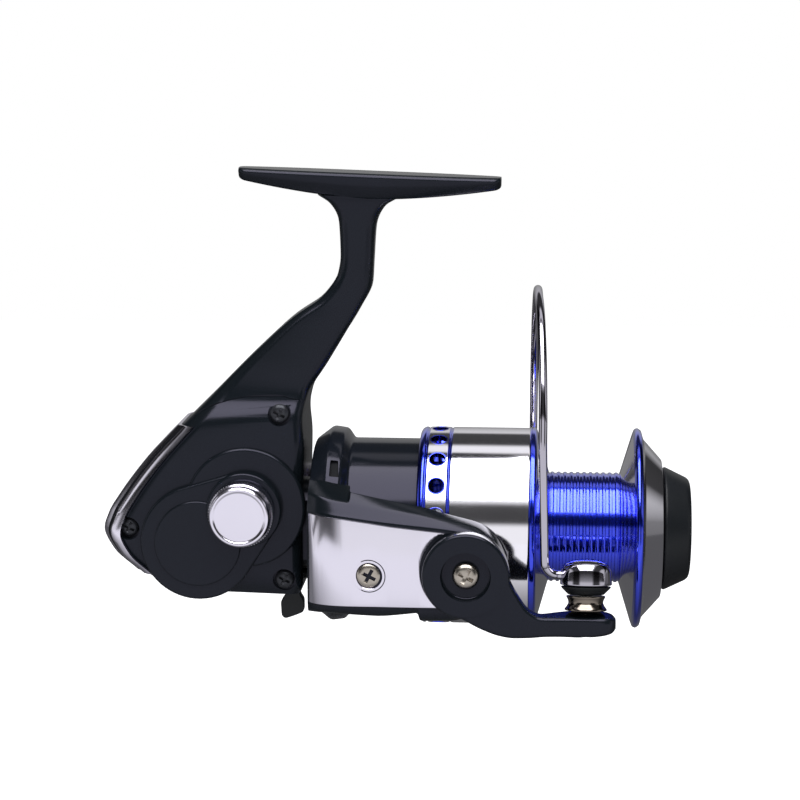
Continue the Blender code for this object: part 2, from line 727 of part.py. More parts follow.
def pinion_gear(spool):
    """Hollow pinion: teeth at the rear, a sleeve through the bearing and rotor."""
    start = CRANK_X + CRANK_SHAFT_RADIUS + 1.7
    end = start + 6.6
    outline = gear_outline(PINION_TEETH, PINION_ROOT_RADIUS, PINION_TIP_RADIUS, 0.0, 0.5, 0.22)
    gear = prism("pinion_gear", outline, start, end, spool)
    place(gear, spool, (BRASS, 0.35, 1.0))
    sleeve = tube("sleeve", end - 0.5, NUT_FRONT_X + 0.6, PINION_SLEEVE_RADIUS, spool,
                  segments=18)
    ring = tube("shoulder", end - 0.3, BEARING_SEAT_X - 0.3, PINION_TIP_RADIUS, spool)
    bore = tube("pinion_bore", start - 1.0, NUT_FRONT_X + 2.0, SHAFT_BORE, spool)
    join(gear, sleeve, ring)
    cut(gear, bore)


def ratchet_wheel(spool):
    points = []
    for i in range(RATCHET_TEETH):
        for turn, share in ((0.0, 1.0), (0.47, 0.97), (0.94, 0.8)):
            angle = 2 * math.pi * (i + turn) / RATCHET_TEETH
            points.append((RATCHET_RADIUS * share * math.cos(angle),
                           RATCHET_RADIUS * share * math.sin(angle)))
    wheel = prism("ratchet_wheel", points, RATCHET_X, RATCHET_X + RATCHET_WIDTH, spool)
    place(wheel, spool, (STEEL, 0.35, 1.0))
    cut(wheel, tube("ratchet_bore", RATCHET_X - 1, RATCHET_X + 4, SLEEVE_BORE, spool))


def anti_reverse(spool, pawl_axis):
    """Plate that holds the bearing in the nose, and the pawl on its post."""
    plate = tube("bearing_retainer", NOSE_FACE_X + SEAT_GAP, NOSE_FACE_X + SEAT_GAP + 1.0,
                 NOSE_RADIUS, spool, 5.4)
    place(plate, spool, (STEEL, 0.35, 1.0))
    post = tube("pawl_post", NOSE_FACE_X + SEAT_GAP, RATCHET_X + RATCHET_WIDTH + 0.4, PAWL_RADIUS,
                pawl_axis, segments=12)
    join(plate, post)
    # Round eye on the post and a nose resting by the ratchet's rim
    eye = Vector((-PAWL_RISE, PAWL_SIDE))
    across = Vector((-eye.y, eye.x)).normalized()
    nose = eye.normalized() * (RATCHET_RADIUS + 0.5) - across * 3.6
    outline = belt((0, 0), PAWL_RADIUS + 1.3, tuple(nose - eye), 0.8, 6)
    pawl = prism("anti_reverse_pawl", outline, RATCHET_X + 0.1, RATCHET_X + RATCHET_WIDTH - 0.1,
                 pawl_axis)
    place(pawl, pawl_axis, (STEEL, 0.35, 1.0))
    cut(pawl, tube("pawl_bore", RATCHET_X - 2, RATCHET_X + 5, PAWL_RADIUS + RUNNING_GAP,
                   pawl_axis, segments=12))


def anti_reverse_lever(axis):
    """Thumb tab below the case on a shaft that runs forward over the nose."""
    shaft = tube("anti_reverse_lever", LEVER_REAR_X, RATCHET_X + RATCHET_WIDTH,
                 LEVER_SHAFT_RADIUS, axis, segments=12)
    place(shaft, axis, (SATIN_BLACK, 0.45, 0.0))
    end = LEVER_TAB_LENGTH
    outline = [(0.8, 0.0), (end - 0.2, 0.0), (end, -5.6), (end + 1.0, -7.0), (end + 1.0, -10.4),
               (0.6, -12.4), (-0.4, -11.6), (-0.6, -7.6), (0.8, -5.6)]
    join(shaft, side_prism("lever_tab", [(LEVER_REAR_X + x, AXIS_Z + LEVER_RISE + up)
                                         for x, up in outline], -1.4, 1.4))


def crank_shaft(crank):
    """Steel shaft through both sides of the case."""
    start = CAP_BACK_Y - CAP_SOCKET + SEAT_GAP
    end = CRANK_HUB_OUTER - 1.2
    shaft = tube("crank_shaft", start, end, CRANK_SHAFT_RADIUS, crank, chamfer=0.4, segments=18)
    place(shaft, crank, (STEEL, 0.25, 1.0))


def handle_screw_cap(crank):
    """Near-side cap: knurled rim, polished face, socket for the shaft end."""
    face, rim = CAP_FACE_Y, CAP_FACE_RADIUS
    outline = [(face, 0), (face, rim - 0.6), (face + 0.6, rim), (face + 2.4, rim),
               (face + 2.6, rim + 0.5), (CAP_BACK_Y - 0.6, rim + 0.5), (CAP_BACK_Y, rim),
               (CAP_BACK_Y, CRANK_BORE), (CAP_BACK_Y - CAP_SOCKET, CRANK_BORE),
               (CAP_BACK_Y - CAP_SOCKET, 0)]
    place(turned("handle_screw_cap", outline, crank, 22), crank, (SILVER, 0.15, 1.0))


def spur_gear(name, teeth, heading, axis, bore):
    """Spur gear of the oscillation pair, a tooth set at the heading given."""
    start, end = OSC_GEAR_BACK, OSC_GEAR_BACK + OSC_GEAR_THICKNESS
    outline = gear_outline(teeth, OSC_MODULE * (teeth / 2 - 0.95),
                           OSC_MODULE * (teeth / 2 + 0.55), heading, 0.42, 0.22)
    gear = prism(name, outline, start, end, axis)
    cut(gear, tube(name + "_bore", start - 1, end + 1, bore, axis, segments=16))
    return gear


def oscillation_gears(crank, osc, pin_axis):
    """Spur driver on the crank shaft and the gear whose pin moves the slider."""
    start, end = OSC_GEAR_BACK, OSC_GEAR_BACK + OSC_GEAR_THICKNESS
    # Local Y of these axes points down, so the heading changes sign
    heading = -math.degrees(math.atan2(CRANK_RISE - OSC_RISE, CRANK_X - OSC_X))
    gear = spur_gear("oscillation_gear", OSC_GEAR_TEETH, heading, osc,
                     OSC_AXLE_RADIUS + RUNNING_GAP)
    place(gear, osc, (ZINC, 0.4, 1.0))
    join(gear, tube("osc_pin", start + 0.5, SLIDER_NEAR_Y - SEAT_GAP, OSC_PIN_RADIUS, pin_axis,
                    segments=12))
    driver = spur_gear("oscillation_driver", OSC_DRIVER_TEETH,
                       heading + 180.0 * (1 + 1 / OSC_DRIVER_TEETH), crank, CRANK_BORE)
    place(driver, crank, (BRASS, 0.35, 1.0))
    seat = LOBE_FACE + CASE_WALL + SEAT_GAP
    collar = OSC_AXLE_RADIUS + 1.6
    axle = turned("oscillation_axle", [(seat, 0), (seat, collar), (start - SEAT_GAP, collar),
                                       (start - SEAT_GAP, OSC_AXLE_RADIUS),
                                       (end + 0.6, OSC_AXLE_RADIUS), (end + 0.6, 0)], osc, 14)
    place(axle, osc, (STEEL, 0.3, 1.0))


def oscillation_slider(slide):
    """Block on the rear of the main shaft, with the slot for the gear's pin."""
    middle = OSC_X + STROKE / 2
    low = AXIS_Z + OSC_RISE - STROKE / 2 - OSC_PIN_RADIUS - 1.4
    high = AXIS_Z + OSC_RISE + STROKE / 2 + OSC_PIN_RADIUS + 1.4
    slider = block("oscillation_slider", (middle - SLIDER_HALF, SLIDER_NEAR_Y, low),
                   (middle + SLIDER_HALF, SHAFT_RADIUS + 1.0, high), 0.5)
    place(slider, finish=(ZINC, 0.45, 1.0))
    slot = block("slider_slot", (middle - 1.3, SLIDER_NEAR_Y - 1.0, low + 1.1),
                 (middle + 1.3, SLIDER_NEAR_Y + 1.6, high - 1.1))
    bore = tube("slider_bore", middle - 10, middle + 10, SHAFT_BORE, slide,
                segments=16)
    cut(slider, slot, bore)
    back = middle - SLIDER_HALF
    hold = turned("slider_screw", [(back - 1.8, 0), (back - 1.8, 2.4), (back - SEAT_GAP, 2.8),
                                   (back - SEAT_GAP, 0)], slide, 14)
    place(hold, slide, (STEEL, 0.3, 1.0))


def main_shaft(slide):
    start = OSC_X + STROKE / 2 - SLIDER_HALF
    end = KNOB_FRONT_X - 2.6
    shaft = tube("main_shaft", start, end, SHAFT_RADIUS, slide, chamfer=0.3, segments=18)
    place(shaft, slide, (STEEL, 0.2, 1.0))


# ---------------------------------------------------------------- spool group

def spool_outline():
    """Closed outline of the spool wall, (station, radius)."""
    wall = SKIRT_WALL
    outer = [(SKIRT_REAR_X, SKIRT_RADIUS - 1.1), (SKIRT_REAR_X + 0.4, SKIRT_RADIUS - 0.4),
             (SKIRT_REAR_X + 1.2, SKIRT_RADIUS)]
    for ring_x in (BAND_REAR_X, BAND_FRONT_X):
        outer += [(ring_x - 0.35, SKIRT_RADIUS), (ring_x, SKIRT_RADIUS - 0.35),
                  (ring_x + 0.35, SKIRT_RADIUS)]
    outer += [(SKIRT_FRONT_X, SKIRT_RADIUS),
             (SKIRT_FRONT_X + 0.3, SKIRT_RADIUS + 0.3), (REAR_RING_X, SKIRT_RADIUS),
             (CORE_REAR_X, CORE_RADIUS + 0.6)]
    pitch = (CORE_FRONT_X - CORE_REAR_X) / CORE_RIBS
    for i in range(CORE_RIBS):
        x = CORE_REAR_X + i * pitch
        outer += [(x + 0.15 * pitch, CORE_RADIUS - RIB_DEPTH), (x + 0.6 * pitch, CORE_RADIUS)]
    outer += [(CORE_FRONT_X, CORE_RADIUS - RIB_DEPTH), (CONE_FRONT_X, LIP_RADIUS - 1.6),
              (CONE_FRONT_X + 0.5, LIP_RADIUS - 0.3), (CONE_FRONT_X + 1.3, LIP_RADIUS),
              (LIP_FRONT_X - 0.6, LIP_RADIUS - 0.6), (LIP_FRONT_X, LIP_RADIUS - 2.8),
              (DISH_FRONT_X, DISH_RADIUS), (DISH_FRONT_X, DRAG_POCKET_RADIUS)]
    pocket = [(CORE_FRONT_X - 6.0, DRAG_POCKET_RADIUS), (CORE_FRONT_X - 6.0, SHAFT_BORE),
              (SPOOL_HUB_REAR, SHAFT_BORE), (SPOOL_HUB_REAR, 5.4), (REAR_RING_X, 5.4),
              (REAR_RING_X, 11.0), (SKIRT_FRONT_X, SKIRT_RADIUS - wall - 1.2),
              (SKIRT_FRONT_X - 1.2, SKIRT_RADIUS - wall), (SKIRT_REAR_X, SKIRT_RADIUS - wall)]
    return outer + pocket


def spool(slide):
    body = turned("spool", spool_outline(), slide, 24)
    place(body, slide, (BLUE, 0.2, 1.0))
    middle = (BAND_REAR_X + BAND_FRONT_X) / 2
    for i in range(VENT_HOLES // 2):
        angle = 360.0 / VENT_HOLES * i
        drill = bpy.data.objects.new("vent_%d" % i, None)
        turn = Matrix.Rotation(math.radians(angle), 4, "X")
        drill.matrix_world = Matrix.Translation((middle * MM, 0, AXIS_Z * MM)) @ turn
        collection(CUTTERS).objects.link(drill)
        bpy.context.view_layer.update()
        cut(body, tube("vent_cut_%d" % i, -40.0, 40.0, VENT_RADIUS, drill, segments=12))


def drag_parts(slide):
    """Click wheel behind the spool, and the drag stack in its front pocket."""
    teeth = gear_outline(12, 5.0, 5.8, 0.0, 0.5, 0.2)
    click = prism("click_wheel", teeth, SPOOL_HUB_REAR - 2.4, SPOOL_HUB_REAR - 0.4, slide)
    place(click, slide, (STEEL, 0.35, 1.0))
    cut(click, tube("click_bore", SPOOL_HUB_REAR - 5, SPOOL_HUB_REAR, SHAFT_BORE, slide,
                    segments=16))
    tube_rear = SPOOL_HUB_REAR - 2.4 - SEAT_GAP
    stop = tube("spool_stop", tube_rear - 2.0, tube_rear, 4.0, slide, SHAFT_BORE, segments=14)
    place(stop, slide, (BRASS, 0.35, 1.0))
    x = DRAG_STACK_X + SEAT_GAP
    stack = (("drag_washer_felt_1", 1.2, FELT, 0.0), ("drag_washer_steel_1", 0.8, STEEL, 1.0),
             ("drag_washer_felt_2", 1.2, FELT, 0.0), ("drag_washer_steel_2", 0.8, STEEL, 1.0),
             ("drag_washer_felt_3", 1.2, FELT, 0.0))
    for name, thick, colour, metal in stack:
        washer = tube(name, x, x + thick, DRAG_POCKET_RADIUS - 0.5, slide, SHAFT_BORE, segments=16)
        place(washer, slide, (colour, 0.5, metal))
        x += thick + SEAT_GAP
    ring = tube("drag_retainer", x, x + 0.8, DRAG_POCKET_RADIUS - SEAT_GAP, slide,
                DRAG_POCKET_RADIUS - 2.4, segments=16)
    place(ring, slide, (STEEL, 0.3, 1.0))
    return x


def drag_knob(slide, stack_end):
    """Front knob with a grip bar between two finger recesses."""
    rear, front = KNOB_REAR_X, KNOB_FRONT_X
    plug = stack_end + 3.4
    outline = [(front, 0), (front, KNOB_FRONT_RADIUS - 1.3), (front - 0.4, KNOB_FRONT_RADIUS - 0.3),
               (front - 1.2, KNOB_FRONT_RADIUS + 0.5), (rear + 5.0, KNOB_REAR_RADIUS - 1.9),
               (rear + 0.5, KNOB_REAR_RADIUS), (rear, KNOB_REAR_RADIUS - 0.5),
               (rear, DRAG_POCKET_RADIUS - 0.6), (plug, DRAG_POCKET_RADIUS - 1.0),
               (plug, SHAFT_BORE), (front - 2.0, SHAFT_BORE), (front - 2.0, 0)]
    knob = turned("drag_knob", outline, slide, 24)
    place(knob, slide, (SATIN_BLACK, 0.45, 0.0))
    for name, side in (("left", 1.0), ("right", -1.0)):
        chord = arc(0, 0, KNOB_FRONT_RADIUS - 2.2, -58, 58, 8)
        pocket = [(side * a, b) for a, b in chord]
        cut(knob, prism("finger_" + name, pocket, front - 3.6, front + 1.0, slide))


def drag_spring(slide, stack_end):
    """Flat coil spring between the knob and the washers, its turns clear of each other."""
    turns, count, radius, rise = 1.8, 28, 5.2, 1.4
    curve = bpy.data.curves.new("drag_spring", "CURVE")
    curve.dimensions = "3D"
    curve.bevel_depth = SPRING_WIRE_RADIUS * MM
    curve.bevel_resolution = 1
    curve.use_fill_caps = True
    spline = curve.splines.new("POLY")
    spline.points.add(count)
    for i, point in enumerate(spline.points):
        angle = 2 * math.pi * turns * i / count
        station = stack_end + 1.4 + rise * i / count
        point.co = (radius * math.cos(angle) * MM, radius * math.sin(angle) * MM,
                    station * MM, 1.0)
    place(bpy.data.objects.new("drag_spring", curve), slide, (STEEL, 0.25, 1.0))


# ---------------------------------------------------------------- rotor group

def rotor_sections(side):
    """Sections of one rotor arm from its root forward, side -1 is near."""
    inner, outer = ARM_INNER, ARM_OUTER
    rows = (
        (ROTOR_REAR_X + 0.5, inner - 6.2, outer - 5.6, -17.2, 9.4, 16.2),
        (ROTOR_REAR_X + 3.0, inner - 6.2, outer - 3.4, -16.8, 9.6, 16.2),
        (ROTOR_REAR_X + 7.0, inner - 6.2, outer - 1.6, -16.5, 9.2, 15.4),
        (ROTOR_FLANGE_X + 0.8, inner - 6.2, outer - 0.8, -16.5, 8.9, 14.9),
        (ROTOR_FLANGE_X + 1.8, inner, outer - 0.7, -16.5, 8.8, 14.7),
        (4.5, inner, outer - 0.2, -16.6, 8.0, 13.2),
        (ARM_BLOCK_X - 1.2, inner, outer, -15.6, 7.1, 11.4),
        (ARM_BLOCK_X, inner, outer, -17.5, 7.0, 11.2),
        (BAIL_PIVOT_X - 4.0, inner, outer, -17.4, 6.2, 9.2),
        (BAIL_PIVOT_X + 3.6, inner, outer, -14.6, 4.6, 7.0),
        (BAIL_PIVOT_X + 8.0, inner, outer, -11.0, 0.6, 2.6),
        (BAIL_PIVOT_X + 9.8, inner, outer - 0.4, -7.4, -2.8, -1.4),
    )
    rings = []
    for x, low, high, bottom, shoulder, top in rows:
        deep = min(2.2, (high - low) * 0.5)
        ring = [(low, bottom + 0.6), (high - deep, bottom), (high - 0.6, bottom + 1.0),
                (high, bottom + 2.6), (high, shoulder), (high - 0.5, shoulder + 0.7),
                (high - deep, (shoulder + top) / 2 + 0.4), (low, top)]
        rings.append([(x, side * y, AXIS_Z + up) for y, up in ring])
    return rings


def plate_outline(grow=0.0):
    """Side view of the bright plate on an arm: cut round the bail hub."""
    g = grow
    hub = BAIL_HUB_RADIUS + 0.5 - g
    rise = BAIL_PIVOT_RISE
    high, low = 5.9 + g, -13.5 - g
    start = 180 - math.degrees(math.asin((high - rise) / hub))
    end = 180 + math.degrees(math.asin((rise - low) / hub))
    top = [(ROTOR_REAR_X - 1.0, 9.2 + g), (-4.0, 8.7 + g), (8.0, 7.2 + g)]
    notch = arc(BAIL_PIVOT_X, rise, hub, start, end, 8)
    base = [(4.0, low - 0.1), (ROTOR_REAR_X - 1.0, low - 0.6)]
    return [(x, AXIS_Z + up) for x, up in top + notch + base]


def arm_skin(name, side, inner, outer):
    """Slab that follows the arm's outer surface, between two offsets from it."""
    rings = []
    for ring in rotor_sections(side)[:10]:
        x = ring[0][0]
        skin = max(abs(p[1]) for p in ring)
        low, high = side * (skin + inner), side * (skin + outer)
        rings.append([(x, low, AXIS_Z - 22), (x, high, AXIS_Z - 22),
                      (x, high, AXIS_Z + 20), (x, low, AXIS_Z + 20)])
    return loft(name, rings)


def plate_form(name, side, grow, inner, outer):
    """Solid between two offsets from the arm's skin, within the plate's outline."""
    form = side_prism(name, plate_outline(grow), side * 15.0, side * 45.0)
    collection(CUTTERS).objects.link(form)
    combine(form, arm_skin(name + "_skin", side, inner, outer), "INTERSECT")
    return baked(form)


def rotor(spool_axis, bail_axes, plate_axes):
    """Cup with a flange, two arms and the seats for their plates."""
    wall = ROTOR_WALL
    outline = [(ROTOR_REAR_X, FLANGE_RADIUS - 3.4), (ROTOR_REAR_X + 4.4, FLANGE_RADIUS),
               (ROTOR_FLANGE_X - 1.8, FLANGE_RADIUS - 0.6), (ROTOR_FLANGE_X, CUP_RADIUS),
               (ROTOR_FRONT_X - 1.4, CUP_RADIUS), (ROTOR_FRONT_X, CUP_RADIUS - 1.4),
               (ROTOR_FRONT_X, SLEEVE_BORE), (ROTOR_FRONT_X - 12.0, SLEEVE_BORE),
               (ROTOR_FRONT_X - 12.0, 6.6), (ROTOR_FRONT_X - wall, 7.6),
               (ROTOR_FRONT_X - wall, CUP_RADIUS - wall), (ROTOR_REAR_X, CUP_RADIUS - wall)]
    body = turned("rotor", outline, spool_axis, 24)
    place(body, spool_axis, (BLACK, 0.25, 0.0))
    depth = PLATE_THICKNESS - PLATE_PROUD + SEAT_GAP
    for side, label in ((-1, "near"), (1, "far")):
        join(body, loft("arm_" + label, rotor_sections(side)))
        cut(body, plate_form("seat_" + label, side, 0.2, -depth, 5.0))
    for i in range(FLANGE_POCKETS):
        for face in (90.0, 270.0):
            angle = face + (i - (FLANGE_POCKETS - 1) / 2) * POCKET_PITCH
            cut(body, flange_pocket("pocket_%d_%d" % (i, face), angle))
    cut(body, tube("rotor_hollow", ROTOR_REAR_X - 1.0, ROTOR_REAR_X + 8.0, CUP_RADIUS - wall,
                   spool_axis, segments=24))
    for label in ("near", "far"):
        cut(body, tube("pivot_way_" + label, -(HUB_OUTER + 6), -ARM_INNER + 2.0,
                       PIVOT_SCREW_RADIUS + RUNNING_GAP, bail_axes[label], segments=12),
            tube("plate_way_" + label, -(HUB_OUTER + 6), -ARM_INNER + 2.0,
                 PLATE_SCREW_RADIUS + RUNNING_GAP, plate_axes[label], segments=10))


def flange_pocket(name, angle):
    """Small window recess in the rear flange, at an angle round the axis."""
    turn = Matrix.Rotation(math.radians(angle), 4, "X")
    pocket = block(name, (ROTOR_FLANGE_X - 4.4, FLANGE_RADIUS - 1.4, -2.6),
                   (ROTOR_FLANGE_X - 1.9, FLANGE_RADIUS + 3.0, 2.6))
    pocket.matrix_world = Matrix.Translation((0, 0, AXIS_Z * MM)) @ turn
    return pocket


def arm_plates(plate_axes):
    for side, label in ((-1, "near"), (1, "far")):
        plate = plate_form("arm_plate_" + label, side, -0.1, PLATE_PROUD - PLATE_THICKNESS,
                           PLATE_PROUD)
        place(plate, finish=(SILVER, 0.25, 1.0))
        cut(plate, tube("plate_sink_" + label, -(HUB_OUTER + 6), -(ARM_OUTER - 3.0),
                        PLATE_SCREW_HEAD + 0.4, plate_axes[label], segments=16))


def arm_screws(bail_axes, plate_axes):
    for label, seat in (("near", HUB_OUTER - BAIL_HUB_RECESS),
                        ("far", HUB_INNER + HOLDER_THICKNESS)):
        pan_screw("plate_screw_" + label, plate_axes[label], -(ARM_OUTER + 0.2),
                  PLATE_SCREW_HEAD, 0.9, PLATE_SCREW_RADIUS, 3.6, (NICKEL, 0.25, 1.0))
        pan_screw("bail_pivot_screw_" + label, bail_axes[label],
                  -(seat + SEAT_GAP + PIVOT_HEAD_HEIGHT), PIVOT_HEAD_RADIUS, PIVOT_HEAD_HEIGHT,
                  PIVOT_SCREW_RADIUS, seat - ARM_INNER - 2.6, (NICKEL, 0.25, 1.0))


def bail_arm(axis):
    """Near arm: round hub on the pivot, swept arm to the line roller."""
    hub = tube("bail_arm", -HUB_OUTER, -HUB_INNER, BAIL_HUB_RADIUS, axis, chamfer=0.9)
    place(hub, axis, (BLACK, 0.25, 0.0))
    o, i = HUB_OUTER, HUB_INNER
    roll = -ROLLER_Y
    rows = (
        (BAIL_PIVOT_X - 1.0, -15.0, 4.0, o - 0.1, i),
        (BAIL_PIVOT_X + 4.0, -17.6, 3.0, o - 0.1, i),
        (BAIL_PIVOT_X + 8.5, -19.2, -1.0, o - 0.1, i),
        (BAIL_PIVOT_X + 12.0, -19.7, -7.6, o - 0.2, i),
        (BAIL_PIVOT_X + 15.5, -19.6, -12.6, o - 0.3, i),
        (BAIL_PIVOT_X + 19.0, -19.3, -14.2, o - 0.4, i - 1.2),
        (ROLLER_X - 5.8, -18.9, -13.9, roll + 3.6, roll - 3.6),
        (ROLLER_X, -18.7, -13.6, roll + 4.4, roll - 4.4),
        (ROLLER_X + 4.6, -18.3, -13.8, roll + 3.9, roll - 3.9),
        (ROLLER_X + 7.4, -17.2, -14.6, roll + 2.2, roll - 2.2),
    )
    rings = []
    for x, low, high, out, back in rows:
        r = min(1.0, (out - back) * 0.3, (high - low) * 0.3)
        ring = [(-back, low + r), (-back - r, low), (-out + r, low), (-out, low + r),
                (-out, high - r), (-out + r, high), (-back - r, high), (-back, high - r)]
        rings.append([(x, y, AXIS_Z + up) for y, up in ring])
    join(hub, loft("bail_sweep", rings))
    recess = tube("hub_recess", -HUB_OUTER - 1.0, -HUB_OUTER + BAIL_HUB_RECESS, 6.2, axis)
    bore = tube("hub_bore", -HUB_OUTER - 5, -HUB_INNER + 5, PIVOT_SCREW_RADIUS + RUNNING_GAP,
                axis, segments=12)
    cut(hub, recess, bore)
    return hub


def roller_parts(axis, arm):
    """Stack on the arm end: line roller, cone bush, cap and their screw."""
    way = tube("roller_way", -12.0, 3.0, 1.25, axis, segments=12)
    counter = tube("roller_counter", -12.0, -4.4, 2.9, axis, segments=16)
    cut(arm, way, counter)
    base, rim, groove = 0.55, ROLLER_RADIUS, ROLLER_GROOVE_RADIUS
    roller = turned("line_roller", [(base, rim), (base + 0.5, rim - 0.1), (base + 1.7, groove),
                                    (base + 2.2, groove), (base + 3.3, rim - 0.4),
                                    (base + 3.6, rim - 0.4), (base + 3.6, 1.5), (base, 1.5)],
                    axis, 20)
    place(roller, axis, (CHROME, 0.1, 1.0))
    cone = base + 3.9
    bush = turned("roller_bush", [(cone, 4.4), (cone + 1.6, CAP_RADIUS - 0.3),
                                  (cone + 2.0, CAP_RADIUS - 0.1), (cone + 2.0, 1.5),
                                  (cone, 1.5)], axis, 20)
    place(bush, axis, (SATIN_BLACK, 0.4, 0.0))
    rim = cone + 2.3
    cap = turned("bail_cap", [(rim, 0), (rim, CAP_RADIUS), (rim + 0.5, CAP_RADIUS + 0.1),
                              (rim + 4.0, CAP_RADIUS - 0.1), (rim + 5.4, CAP_RADIUS - 1.0),
                              (rim + 6.2, CAP_RADIUS - 2.8), (rim + 6.5, 0)], axis, 20)
    place(cap, axis, (CHROME, 0.1, 1.0))
    cut(cap, tube("cap_thread", rim - 1.0, rim + 2.6, 1.25, axis, segments=12))
    screw = turned("roller_screw", [(-5.9, 0), (-5.9, 2.0), (-5.4, 2.5), (-4.6, 2.5), (-4.6, 1.0),
                                    (rim + 2.2, 1.0), (rim + 2.2, 0)], axis, 10)
    place(screw, axis, (NICKEL, 0.25, 1.0))
    cut(screw, *cross_slot("roller_screw", 1.4, -5.9, 0.7, axis, 0.5))
    return rim, cap


def wire_route(cap_top):
    """Points along the bail wire from the roller cap over to the far holder."""
    near_y, far_y = ROLLER_Y, FAR_WIRE_Y
    low_x = BAIL_APEX_X + 2.6
    start_up = cap_top
    bend = WIRE_BEND
    points = [(ROLLER_X - CAP_RADIUS + 1.6, near_y + 1.6, start_up),
              (ROLLER_X - CAP_RADIUS - 0.6, near_y + 1.5, start_up + 0.1)]
    centre_x = low_x + bend
    for i in range(1, 6):
        a = math.radians(90 * i / 5)
        points.append((centre_x - bend * math.sin(a), near_y + 1.5 - 0.3 * i,
                       start_up + bend * (1 - math.cos(a)) + 0.1))
    spring_line = BAIL_APEX_RISE - (far_y - near_y) / 2
    rise = points[-1][2]
    for i in range(1, 5):
        share = i / 4
        points.append((low_x - 0.8 * share, near_y, rise + (spring_line - rise) * share))
    half = (far_y - near_y) / 2
    middle = (far_y + near_y) / 2
    for i in range(1, 16):
        a = math.pi * i / 16
        x = low_x - 0.8 - (low_x - 0.8 - BAIL_APEX_X) * min(1.0, 1.1 * math.sin(a / 2) ** 2 * 2)
        if i > 8:
            x = BAIL_APEX_X - 1.1 * math.sin((a - math.pi / 2))
        points.append((x, middle - half * math.cos(a), spring_line + half * math.sin(a)))
    end_up = BAIL_PIVOT_RISE + WIRE_END_RISE
    far_x = WIRE_FAR_X
    for i in range(0, 5):
        share = i / 4
        points.append((far_x, far_y, spring_line + (end_up + bend - spring_line) * share))
    for i in range(1, 6):
        a = math.radians(90 * i / 5)
        points.append((far_x - bend + bend * math.cos(a), far_y, end_up + bend - bend * math.sin(a)))
    points.append((far_x - bend - 3.0, far_y, end_up))
    return points


def bail_wire(cap_up, bail_axis):
    """Round wire bent over the spool, swept along its route."""
    route = wire_route(cap_up)
    curve = bpy.data.curves.new("bail_wire", "CURVE")
    curve.dimensions = "3D"
    curve.bevel_depth = WIRE_RADIUS * MM
    curve.bevel_resolution = 1
    curve.use_fill_caps = True
    spline = curve.splines.new("POLY")
    spline.points.add(len(route) - 1)
    origin = Vector((BAIL_PIVOT_X, 0, BAIL_PIVOT_RISE))
    for point, place_mm in zip(spline.points, route):
        local = ALONG_Y.to_3x3().inverted() @ (Vector(place_mm) - origin)
        point.co = (*(local * MM), 1.0)
    place(bpy.data.objects.new("bail_wire", curve), bail_axis, (CHROME, 0.1, 1.0))


def bail_holder(axis):
    """Far side: hub on its pivot and a short arm that grips the wire end."""
    hub = tube("bail_holder", HUB_INNER, HUB_INNER + HOLDER_THICKNESS, HOLDER_HUB_RADIUS, axis,
               chamfer=0.6)
    place(hub, axis, (BLACK, 0.25, 0.0))
    reach = WIRE_FAR_X - WIRE_BEND - BAIL_PIVOT_X
    room = WIRE_RADIUS + SEAT_GAP
    arm = block("holder_arm", (PIVOT_HEAD_RADIUS + 1.0, -WIRE_END_RISE - 2.6, HUB_INNER),
                (reach, -WIRE_END_RISE + 2.6, HUB_INNER + 4.4), 0.8, axis)
    socket = block("holder_socket", (reach - 3.4, -WIRE_END_RISE - room, FAR_WIRE_Y - room),
                   (reach + 2.0, -WIRE_END_RISE + room, FAR_WIRE_Y + room), 0.0, axis)
    join(hub, arm)
    cut(hub, socket, tube("holder_bore", HUB_INNER - 2, HUB_INNER + 8,
                          PIVOT_SCREW_RADIUS + RUNNING_GAP, axis, segments=12))


def rotor_nut(spool_axis):
    nut = prism("rotor_nut", arc(0, 0, 6.4, 0, 300, 5), NUT_REAR_X, NUT_FRONT_X, spool_axis)
    place(nut, spool_axis, (STEEL, 0.3, 1.0))
    cut(nut, tube("nut_bore", NUT_REAR_X - 2, NUT_FRONT_X + 2, SLEEVE_BORE, spool_axis))


# ---------------------------------------------------------------- handle

